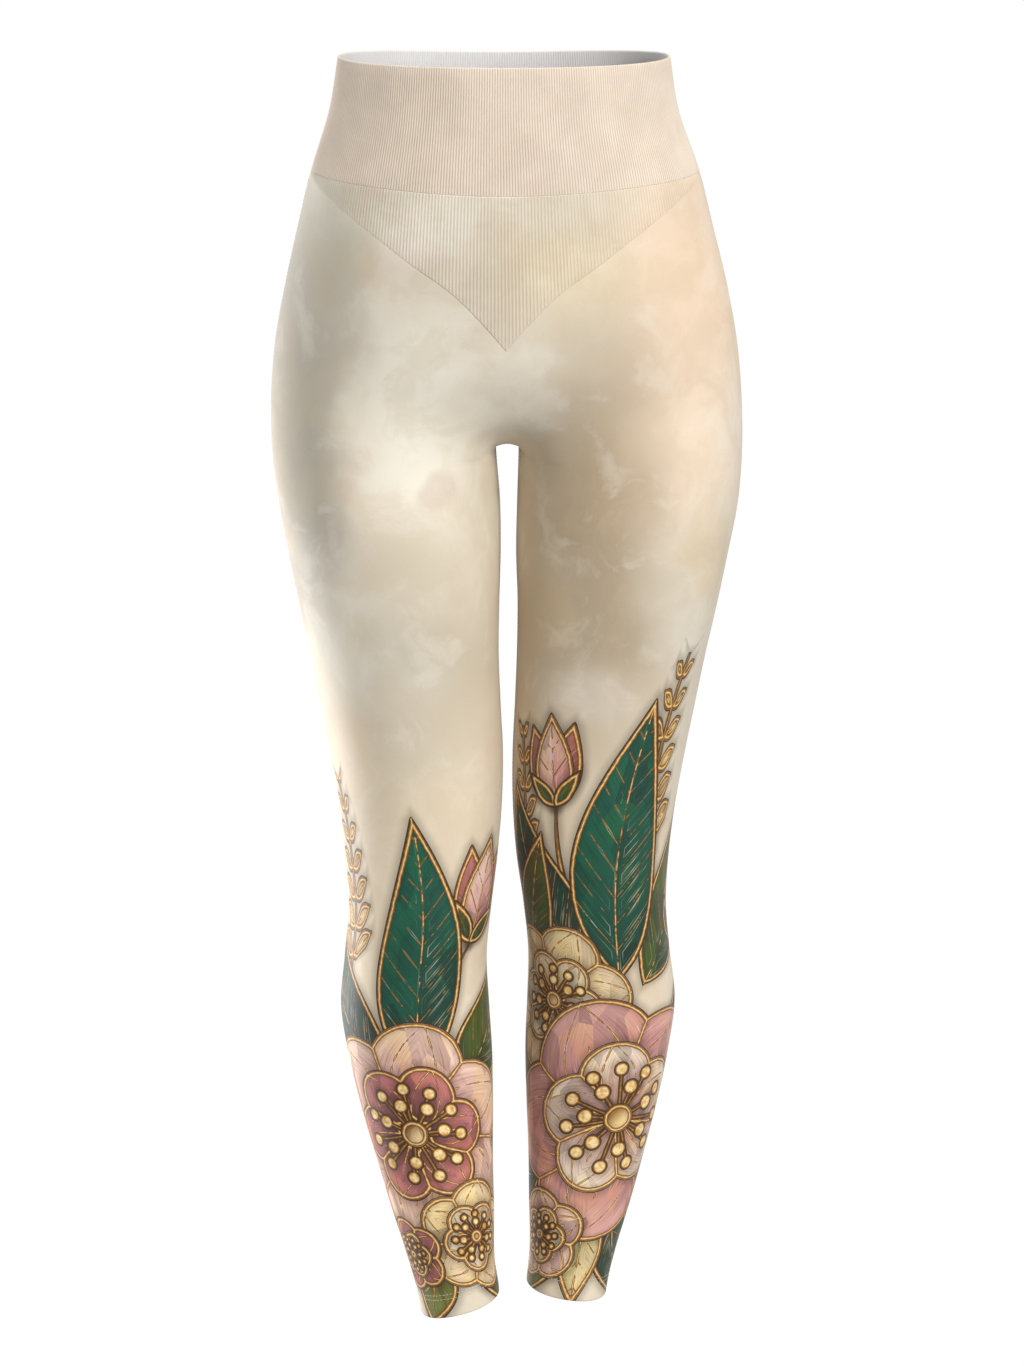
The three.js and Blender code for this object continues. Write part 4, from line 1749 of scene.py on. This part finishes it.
@dataclass(frozen=True)
class Knit:
    """How a knit takes the light."""

    roughness: float = 0.62
    sheen: float = 0.18
    sheen_roughness: float = 0.45
    specular: float = 0.32
    grain: float = 950
    grain_depth: float = 0.00014
    grain_strength: float = 0.5

    def surface(self, graph: Graph, colour: object) -> None:
        """Finish a material with this knit and a colour.

        Args:
            graph: The material's graph.
            colour: A colour or the output that carries it.
        """
        stretched = graph.vector("MULTIPLY", graph.place(), (1.0, 1.0, 0.55)).outputs[0]
        grain = graph.cloud(stretched, self.grain, 2, 0.6)
        bump = {"Strength": self.grain_strength, "Distance": self.grain_depth, "Height": grain}
        graph.finish(
            {
                "Base Color": shade(colour),
                "Roughness": self.roughness,
                "Sheen Weight": self.sheen,
                "Sheen Roughness": self.sheen_roughness,
                "Specular IOR Level": self.specular,
                "Normal": graph.plug(graph.add("ShaderNodeBump"), bump).outputs[0],
            }
        )


def new_material(name: str) -> tuple[bpy.types.Material, Graph]:
    """Start an empty material and the graph to wire it.

    Args:
        name: Its name.

    Returns:
        The material and its graph.
    """
    material = bpy.data.materials.new(name)
    material.use_nodes = True
    material.node_tree.nodes.clear()
    return material, Graph(material.node_tree)


EMERALD, TEAL, BOTTLE = (10, 62, 46), (18, 90, 70), (18, 46, 30)
OLIVE, SAGE, MOSS = (92, 98, 30), (128, 134, 74), (38, 68, 30)
ROSE, DEEP_ROSE, BLUSH = (200, 128, 126), (146, 72, 80), (240, 208, 192)
PEARL, CREAM, HONEY = (246, 230, 208), (244, 216, 168), (224, 178, 108)
OLD_GOLD, BROWN_GOLD = (216, 172, 96), (150, 104, 46)


def leaf(
    x: float, z: float, turn: float, length: float, width: float, base: Rgb, tip: Rgb, bend: float = 0
) -> Motif:
    """Describe a veined leaf."""
    return Motif(MotifKind.LEAF, (x, z), turn, length, width, base, tip, bend)


def stem(x: float, z: float, turn: float, length: float, bend: float = 0) -> Motif:
    """Describe a fine gold stem."""
    return Motif(MotifKind.LEAF, (x, z), turn, length, 1.6, BROWN_GOLD, OLD_GOLD, bend, 0)


def tulip(x: float, z: float, turn: float, length: float) -> tuple[Motif, ...]:
    """Describe a small closed bud of three petals on two sepals.

    Args:
        x: Where it starts, across the cloth.
        z: Its height.
        turn: Which way it points, in degrees.
        length: How long it is.

    Returns:
        Its parts, from the back.
    """
    width = length * 0.2
    petal = (length * 0.92, width, DEEP_ROSE, ROSE, 0, 0)
    sepal = (length * 0.46, width * 0.42, MOSS, OLIVE, 0, 0)
    front = (length, width * 1.12, ROSE, BLUSH, 0, 1)
    parts = ((17, petal), (-17, petal), (0, front), (40, sepal), (-40, sepal))
    return tuple(Motif(MotifKind.LEAF, (x, z), turn + aside, *part) for aside, part in parts)


def blossom(
    x: float, z: float, turn: float, reach: float, count: int, colours: tuple[Rgb, Rgb, Rgb, Rgb]
) -> tuple[Motif, ...]:
    """Describe a round open blossom.

    Args:
        x: Its middle, across the cloth.
        z: Its height.
        turn: How far it is turned, in degrees.
        reach: From its middle to a petal's end.
        count: How many petals each ring has.
        colours: The outer ring's base and tip, and the inner ring's.

    Returns:
        Its rings, from the back.
    """
    at, half = (x, z), 180 / count
    width = reach * (0.5 if count < 6 else 0.42)
    outer, inner = colours[:2], colours[2:]
    beads = reach * 0.045 + 0.6, reach * 0.05 + 0.6
    return (
        Motif(MotifKind.PETALS, at, turn, reach, width, *outer, 0.0022, count),
        Motif(MotifKind.PETALS, at, turn + half, reach * 0.62, width * 0.6, *inner, -0.003, count),
        Motif(MotifKind.STAMENS, at, turn + 7, reach * 0.4, beads[0], BROWN_GOLD, HONEY, 0, 11),
        Motif(MotifKind.STAMENS, at, turn + 20, reach * 0.26, beads[1], BROWN_GOLD, HONEY, 0, 7),
        Motif(MotifKind.BEAD, at, 0, 0, reach * 0.11, BROWN_GOLD, CREAM),
    )


@dataclass(frozen=True)
class Layout:
    """The motifs of one leg from the back of the design to its front, and the bands that split them."""

    name: str
    motifs: tuple[Motif, ...]
    bands: tuple[float, ...]

    def material_at(self, z: float, first: int) -> int:
        """Give the material index at a height, 0 above all bands and counted on from first in them."""
        band = sum(z < level for level in self.bands)
        return first + band if band else 0


LEFT_LAYOUT = Layout(
    "left_leg",
    (
        Motif(MotifKind.FROND, (50, -590), 84, 150, 21, OLD_GOLD, CREAM, 10),
        Motif(MotifKind.FROND, (-62, -620), 97, 120, 18, HONEY, PEARL, -6),
        stem(-2, -680, 103, 130, 6),
        *tulip(-32, -556, 100, 72),
        leaf(2, -700, 118, 176, 31, BOTTLE, EMERALD, 10),
        leaf(34, -700, 60, 196, 33, MOSS, OLIVE, -10),
        leaf(14, -694, 84, 222, 35, EMERALD, TEAL, 6),
        leaf(60, -770, 30, 120, 30, BOTTLE, EMERALD, 8),
        leaf(-40, -790, 160, 116, 28, OLIVE, SAGE, 6),
        leaf(-40, -858, 196, 96, 26, EMERALD, TEAL),
        leaf(-70, -704, 78, 128, 23, MOSS, OLIVE),
        leaf(50, -860, -16, 96, 25, MOSS, OLIVE, -5),
        leaf(-18, -876, -114, 96, 23, OLIVE, SAGE, 6),
        leaf(24, -880, -64, 96, 23, BOTTLE, MOSS, -6),
        leaf(4, -880, -91, 80, 18, SAGE, CREAM),
        *blossom(-40, -714, 16, 64, 6, (HONEY, (244, 222, 184), CREAM, PEARL)),
        *tulip(78, -672, 58, 78),
        *blossom(20, -808, 52, 101, 5, (DEEP_ROSE, (230, 176, 166), ROSE, PEARL)),
        *blossom(-33, -906, 30, 38, 5, (ROSE, BLUSH, CREAM, PEARL)),
    ),
    (-425, -560, -670, -770, -860),
)

RIGHT_LAYOUT = Layout(
    "right_leg",
    (
        Motif(MotifKind.FROND, (-60, -690), 97, 150, 20, OLD_GOLD, CREAM, -8),
        stem(2, -780, 70, 120, 8),
        *tulip(44, -664, 74, 84),
        leaf(-2, -770, 91, 208, 33, EMERALD, TEAL, -8),
        leaf(-22, -776, 126, 176, 31, BOTTLE, EMERALD, 8),
        leaf(26, -776, 46, 140, 30, MOSS, OLIVE, -8),
        leaf(-52, -820, 168, 96, 27, OLIVE, SAGE, 5),
        leaf(48, -846, 4, 86, 24, BOTTLE, EMERALD),
        leaf(-38, -880, 206, 84, 24, EMERALD, TEAL),
        leaf(22, -912, -46, 70, 20, MOSS, OLIVE, 4),
        leaf(-10, -912, -104, 58, 18, OLIVE, SAGE),
        *blossom(-10, -814, 90, 90, 6, (ROSE, (242, 208, 188), DEEP_ROSE, ROSE)),
        *blossom(26, -898, 12, 45, 5, (HONEY, (244, 222, 184), CREAM, PEARL)),
        *blossom(-31, -914, 40, 29, 5, (DEEP_ROSE, ROSE, BLUSH, PEARL)),
    ),
    (-520, -640, -740, -810, -870),
)


class Cloths:
    """Every finish of the leggings."""

    jersey = Knit()
    rib = Knit(roughness=0.7, sheen=0.2, grain=1300, grain_depth=0.0001)

    def __init__(self) -> None:
        """Make the shared groups and the materials."""
        # The print's ground, with painted shade and painted light in a few of its washes.
        self.ground = PrintGroundAndShade().tree()
        self.enamel = Enamel().tree()
        self.motifs = MotifNodes()
        self.plain = self.printed("printed_jersey", ())
        self.legs = {layout.name: self.leg(layout) for layout in (LEFT_LAYOUT, RIGHT_LAYOUT)}
        # Each rib knit's second colour is painted shade between its ribs.
        self.band = self.ribbed("rib_knit", (239, 223, 204), (178, 158, 138), 0.6)
        self.band_inside = self.ribbed("rib_knit_inside", (228, 226, 224), (196, 192, 190))
        self.yoke = self.ribbed("printed_rib", None, (184, 168, 144), 0.36)
        self.lining = self.inside("jersey_inside", (230, 226, 220))
        self.thread = self.inside("thread", (226, 212, 190))

    def printed(self, name: str, motifs: Sequence[Motif]) -> bpy.types.Material:
        """Make the jersey with some motifs on the print's ground, which has painted shade and painted
        light in a few washes.

        Args:
            name: The material's name.
            motifs: The motifs, from the back.

        Returns:
            The material.
        """
        material, graph = new_material(name)
        colour = graph.group(self.ground, {}).outputs[0]
        if motifs:
            cloth_map = graph.add("ShaderNodeUVMap", uv_map="Print")
            cloth = graph.vector("SCALE", cloth_map.outputs[0], 1000.0).outputs[0]
            shape = graph.xyz(-100.0, 50.0, 0.0)
            for motif in motifs:
                shape, colour = self.motifs.draw(graph, motif, cloth, shape, colour)
            drawn = {"Cloth": cloth, "Shape": shape, "Colour": colour}
            colour = graph.group(self.enamel, drawn).outputs[0]
        self.jersey.surface(graph, colour)
        return material

    def leg(self, layout: Layout) -> list[bpy.types.Material]:
        """Make a leg's materials, one for each band of heights with the motifs that reach it.

        Args:
            layout: The leg's layout.

        Returns:
            The materials, from the top.
        """
        made = []
        limits = (*layout.bands, -1200.0)
        for n in range(len(layout.bands)):
            top, bottom = limits[n] + 8, limits[n + 1] - 8
            here = [m for m in layout.motifs if m.levels[0] < top and m.levels[1] > bottom]
            made.append(self.printed(f"printed_jersey_{layout.name}_{n + 1}", here))
        return made

    def ribbed(
        self, name: str, crest: Optional[Rgb], cloud_and_valley_shade: Rgb, depth: float = 0.7
    ) -> bpy.types.Material:
        """Make a rib knit, printed with the ground where it has no colour of its own, with painted
        shade in its dips.

        Args:
            name: The material's name.
            crest: The ribs' colour, or None for the ground.
            cloud_and_valley_shade: The painted shade between the ribs, which the knit's random clouding
                also tends towards.
            depth: How strongly the painted shade shows in the dips.

        Returns:
            The material.
        """
        material, graph = new_material(name)
        colour: object = crest if crest else graph.group(self.ground, {}).outputs[0]
        dip = graph.add("ShaderNodeAttribute", attribute_name="dip").outputs["Fac"]
        colour = graph.blend(self.clouding(graph, 24, 0.2), colour, cloud_and_valley_shade)
        # Painted shade: darker between the ribs, where the knit dips.
        colour = graph.blend(graph.ramp(dip, 0.05, 0.32, 0.0, depth, soft=False), colour, cloud_and_valley_shade)
        self.rib.surface(graph, colour)
        return material

    def inside(self, name: str, colour: Rgb) -> bpy.types.Material:
        """Make the plain wrong side of the cloth, or the thread, faintly clouded.

        Args:
            name: The material's name.
            colour: Its colour as seen.

        Returns:
            The material.
        """
        material, graph = new_material(name)
        darker = tuple(v * 0.88 for v in colour)
        self.jersey.surface(graph, graph.blend(self.clouding(graph, 30, 0.25), colour, darker))
        return material

    def clouding(self, graph: Graph, scale: float, strength: float) -> Number:
        """Give how far a plain cloth is clouded at a place."""
        return graph.ramp(graph.cloud(graph.place(), scale, 3, 0.6), 0.35, 0.7, 0.0, strength)


@dataclass(frozen=True)
class Sewing:
    """The rows of fine stitches along the seams and round the hems."""

    pitch: float = 3.0
    length: float = 2.3
    thick: float = 0.42
    aside: float = 1.7
    hem_rows: tuple[float, ...] = (14.6, 18.0)
    start: float = -288.0
    tilt: float = 0.35
    proud: float = 0.02

    def row(self, points: np.ndarray, normals: np.ndarray, tilt: float) -> bpy.types.Mesh:
        """Make a row of stitches.

        Args:
            points: Where each stitch lies.
            normals: The way out of the cloth there.
            tilt: How far each is turned on the cloth, in radians.

        Returns:
            The row as one mesh.
        """
        bm = bmesh.new()
        runs = np.gradient(points, axis=0)
        size = Matrix.Diagonal((self.length / 2 * MM, self.thick / 2 * MM, self.thick / 2 * MM, 1))
        for point, run, normal in zip(points, runs, normals):
            out = Vector(normal).normalized()
            along = Vector(run).normalized()
            along = Matrix.Rotation(tilt, 3, out) @ along
            basis = Matrix((along, out.cross(along), out)).transposed().to_4x4()
            place = Matrix.Translation(Vector(point) * MM) @ basis @ size
            bmesh.ops.create_icosphere(bm, subdivisions=1, radius=1, matrix=place)
        mesh = bpy.data.meshes.new("row")
        bm.to_mesh(mesh)
        bm.free()
        return mesh

    def seam(self, side: Side, share: float, tilt: float) -> bpy.types.Mesh:
        """Sew down a leg beside a seam that lies at 0, 0.5 or 1 of the way round it.

        Args:
            side: The leg.
            share: Where the seam lies.
            tilt: How far each stitch is turned, in radians.

        Returns:
            The row.
        """
        first = self.start if share in (0.0, 1.0) else -FIGURE.band_side - 8
        z = np.arange(first, -FIGURE.outseam + 24, -self.pitch)
        offset = self.aside / FIGURE.girth(z)
        inward = {0.0: 1, 1.0: -1}.get(share, 1 if tilt > 0 else -1)
        shares = share + inward * offset
        normal = FIGURE.outward(side, shares, z)
        return self.row(FIGURE.cloth(side, shares, z) + normal * self.proud, normal, tilt)

    def hem(self, side: Side, up: float) -> bpy.types.Mesh:
        """Sew round a hem at a height above its edge.

        Args:
            side: The leg.
            up: The height.

        Returns:
            The row.
        """
        count = round(float(FIGURE.girth(np.array(-FIGURE.outseam))) / self.pitch)
        shares = (np.arange(count) + 0.5) / count
        z = FIGURE.hem(side, shares) + up
        normal = FIGURE.outward(side, shares, z)
        return self.row(FIGURE.cloth(side, shares, z) + normal * self.proud, normal, 0.0)

    def build(self, thread: bpy.types.Material) -> bpy.types.Object:
        """Sew all the rows as one piece.

        Args:
            thread: The thread's material.

        Returns:
            The piece.
        """
        rows = []
        seams = ((0.0, self.tilt), (1.0, -self.tilt), (0.5, self.tilt), (0.5, -self.tilt))
        for side in Side:
            rows += [self.seam(side, share, tilt) for share, tilt in seams]
            rows += [self.hem(side, up) for up in self.hem_rows]
        bm = bmesh.new()
        for mesh in rows:
            bm.from_mesh(mesh)
            bpy.data.meshes.remove(mesh)
        for face in bm.faces:
            face.smooth = True
        piece = new_object("stitching", bm, [thread])
        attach(piece, "root")
        return piece


class Leggings:
    """The whole garment."""

    def __init__(self) -> None:
        """Make the finishes."""
        self.cloths = Cloths()

    def panel(self, face: Face) -> bpy.types.Object:
        """Build the front or the back, each leg with its own layout of the print.

        Args:
            face: Which panel.

        Returns:
            The piece.
        """
        layouts = {Side.LEFT: LEFT_LAYOUT, Side.RIGHT: RIGHT_LAYOUT}
        if face is Face.BACK:
            layouts = {Side.LEFT: RIGHT_LAYOUT, Side.RIGHT: LEFT_LAYOUT}
        finishes = [self.cloths.plain]
        bands: dict[Side, Callable[[float], int]] = {}
        for side, layout in layouts.items():
            first = len(finishes) - 1
            finishes += self.cloths.legs[layout.name]
            bands[side] = lambda z, layout=layout, first=first: layout.material_at(z, first)
        return Panel(face).build([*finishes, self.cloths.lining], bands)

    def build(self) -> list[bpy.types.Object]:
        """Build every piece.

        Returns:
            The pieces, from the top.
        """
        cloths = self.cloths
        band = Waistband().build([cloths.band, cloths.band_inside])
        yoke = Yoke().build([cloths.yoke, cloths.lining])
        front = self.panel(Face.FRONT)
        back = self.panel(Face.BACK)
        gusset = Gusset().build([cloths.plain, cloths.lining])
        stitching = Sewing().build(cloths.thread)
        return [band, yoke, front, back, gusset, stitching]


def new_light(name: str, kind: str, energy: float) -> bpy.types.Object:
    """Put a light of a kind in the scene.

    Args:
        name: Its name.
        kind: Blender's kind of light.
        energy: Its strength.

    Returns:
        The light.
    """
    data = bpy.data.lights.new(name, kind)
    data.energy = energy
    light = bpy.data.objects.new(name, data)
    bpy.context.collection.objects.link(light)
    return light


@dataclass(frozen=True)
class Lamp:
    """A soft distant light."""

    name: str
    pitch: float
    yaw: float
    strength: float
    softness: float


@dataclass(frozen=True)
class Softbox:
    """A square soft light that stands low beside the leg."""

    place: tuple[float, float, float]
    aim: tuple[float, float, float]
    size: float
    power: float

    def build(self) -> None:
        """Set it up, facing what it is aimed at."""
        light = new_light("softbox", "AREA", self.power)
        light.data.shape, light.data.size = "SQUARE", self.size
        light.location = self.place
        facing = Vector(self.aim) - Vector(self.place)
        light.rotation_euler = facing.to_track_quat("-Z", "Y").to_euler()


@dataclass(frozen=True)
class Studio:
    """The camera of the photograph, a plain pale floor and soft light."""

    eye: tuple[float, float, float] = (0.0059, -3.9, 0.375)
    down: float = 12.3
    focal: float = 138.6
    frame_height: float = 36.0
    floor_level: float = -2.6
    floor_reach: float = 60.0
    floor_grey: float = 0.93
    ambient: float = 0.25
    lamps: tuple[Lamp, ...] = (
        Lamp("key", 20, 31, 2.6, 24),
        Lamp("rim", 8, -126, 0.9, 16),
        Lamp("top", 88, 0, 1.7, 50),
    )
    softbox: Softbox = Softbox((-0.8, 0.3, -0.8), (-0.06, 0.0, -0.6), 0.45, 8.5)

    def build(self) -> None:
        """Set up the camera, the floor and the lights."""
        camera = bpy.data.objects.new("camera", bpy.data.cameras.new("camera"))
        camera.location = self.eye
        camera.rotation_euler = (math.radians(90 - self.down), 0, 0)
        camera.data.sensor_fit = "VERTICAL"
        camera.data.sensor_height = self.frame_height
        camera.data.lens = self.focal
        bpy.context.collection.objects.link(camera)
        bpy.context.scene.camera = camera
        bm = bmesh.new()
        bmesh.ops.create_grid(bm, x_segments=1, y_segments=1, size=self.floor_reach)
        bmesh.ops.translate(bm, verts=bm.verts[:], vec=(0, 0, self.floor_level))
        material, graph = new_material("floor")
        graph.finish({"Base Color": (self.floor_grey,) * 3 + (1,), "Roughness": 0.9})
        floor = new_object("floor", bm, [material])
        floor.visible_diffuse = False
        for lamp in self.lamps:
            light = new_light(lamp.name, "SUN", lamp.strength)
            light.data.angle = math.radians(lamp.softness)
            light.rotation_euler = (math.radians(90 - lamp.pitch), 0, math.radians(lamp.yaw))
        self.softbox.build()
        world = bpy.data.worlds.new("studio")
        world.use_nodes = True
        background = world.node_tree.nodes["Background"]
        background.inputs["Color"].default_value = (1, 1, 1, 1)
        background.inputs["Strength"].default_value = self.ambient
        bpy.context.scene.world = world
        bpy.context.scene.view_settings.view_transform = "Standard"


def main() -> None:
    """Build the studio and the leggings, and report each piece."""
    Studio().build()
    for piece in Leggings().build():
        faces = piece.data.polygons
        LOG.info("%s: %d faces, %.4f m2", piece.name, len(faces), sum(face.area for face in faces))
    bpy.context.view_layer.update()


if __name__ == "__main__":
    main()
